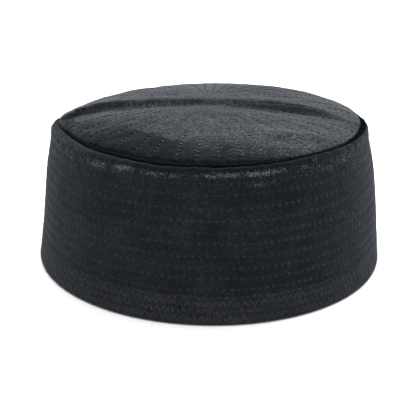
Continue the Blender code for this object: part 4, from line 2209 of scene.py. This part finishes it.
@dataclass(frozen=True)
class Studio:
    """A white floor, soft light from above and a camera at the height of a table's edge."""

    elevation: float = 21.7
    distance: float = 0.5
    target: tuple[float, float, float] = (-0.00086, 0.0, 0.0226)
    lens: float = 76.76
    roll: float = 0.74
    film_width: float = 36.0
    nearest: float = 0.01
    floor_side: float = 6.0
    floor_tones: tuple[Color, Color] = ((0.93, 0.93, 0.93, 1.0), (0.96, 0.96, 0.96, 1.0))
    ambient: float = 0.55
    top_power: float = 39.6
    front_power: float = 4.4
    aim_height: float = 0.05

    def build_floor(self) -> None:
        """Lays the floor, which is not part of the hat."""
        deselect()
        bpy.ops.mesh.primitive_plane_add(size=self.floor_side)
        floor = added("floor")
        material, board, shader = new_material("white_paper")
        tooth = board.noise(board.node("TexCoord").outputs["Object"], 500.0, 2.0)
        color = board.blend(tooth, *self.floor_tones)
        board.feed(shader, Base_Color=color, Roughness=0.8, Specular_IOR_Level=0.2)
        floor.data.materials.append(material)

    def build_camera(self) -> None:
        """Sets the camera at the photo's angle."""
        data = bpy.data.cameras.new("camera")
        data.lens = self.lens
        data.sensor_width = self.film_width
        data.clip_start = self.nearest
        camera = bpy.data.objects.new("camera", data)
        bpy.context.scene.collection.objects.link(camera)
        rise = math.radians(self.elevation)
        back = Vector((0.0, -math.cos(rise), math.sin(rise)))
        look = (-back).to_track_quat("-Z", "Y").to_matrix().to_4x4()
        turned = look @ Matrix.Rotation(math.radians(self.roll), 4, "Z")
        camera.matrix_world = Matrix.Translation(Vector(self.target) + back * self.distance) @ turned
        bpy.context.scene.camera = camera

    def build_lights(self) -> None:
        """Sets an even white room and a broad soft light above and behind the hat."""
        world = bpy.data.worlds.new("studio")
        world.use_nodes = True
        bpy.context.scene.world = world
        tree = world.node_tree
        background = tree.nodes["Background"]
        background.inputs["Color"].default_value = (1.0, 1.0, 1.0, 1.0)
        background.inputs["Strength"].default_value = self.ambient
        self.lamp("top_softbox", (0.15, 0.35, 1.3), 1.6, self.top_power)
        self.lamp("front_softbox", (-0.7, -1.2, 0.9), 0.9, self.front_power)

    def lamp(self, name: str, place: tuple[float, float, float], size: float, power: float) -> None:
        """Hangs one soft lamp that points at the hat.

        Args:
            name: The lamp's name.
            place: Where it hangs.
            size: Its side.
            power: Its power in watts.
        """
        data = bpy.data.lights.new(name, "AREA")
        data.shape = "SQUARE"
        data.size = size
        data.energy = power
        lamp = bpy.data.objects.new(name, data)
        bpy.context.scene.collection.objects.link(lamp)
        lamp.location = place
        aim = Vector((0.0, 0.0, self.aim_height)) - Vector(place)
        lamp.rotation_euler = aim.to_track_quat("-Z", "Y").to_euler()

    def build(self) -> None:
        """Sets up the whole studio."""
        self.build_camera()
        self.build_floor()
        self.build_lights()
        bpy.context.scene.view_settings.view_transform = "Standard"
        LOG.info("studio: camera, floor and lights")


def main() -> None:
    """Builds the studio and every piece of the hat."""
    logging.basicConfig(level=logging.INFO, format="%(message)s")
    Studio().build()
    groups = Groups()
    velvet = {kind: kind.value.material(groups) for kind in Velvets}
    thread = {kind: kind.value.material() for kind in Threads}
    backing = BackingFinish().material(groups)
    stitch, fibre = stitch_template(), fibre_template()
    form = HatForm()
    band, hem = QuiltedBand(form), SewnHem(form)
    crown, welt = StitchedCrown(form), SeamWelt(form)
    band.build([velvet[Velvets.BAND], backing])
    band.build_stitches(stitch, thread[Threads.BAND])
    band.build_fuzz(fibre, thread[Threads.LIT_PILE])
    hem.build([velvet[Velvets.HEM]])
    hem.build_stitches(stitch, thread[Threads.HEM])
    cloth = crown.build([velvet[Velvets.CROWN], backing, velvet[Velvets.EDGE], velvet[Velvets.SHADED]])
    crown_thread = crown.build_stitches(stitch, thread[Threads.CROWN])
    # Painted shadow in the needle holes, as dark flat stitches
    holes = crown.build_hole_shadows(stitch, thread[Threads.DARK_PILE_AND_SHADOW])
    crown.declare_cloth(cloth, [crown_thread, holes])
    welt.build(velvet[Velvets.WELT])
    welt.build_fuzz(fibre, thread[Threads.DARK_PILE_AND_SHADOW])
    Lint(band).build(stitch, thread[Threads.LINT])


if __name__ == "__main__":
    main()
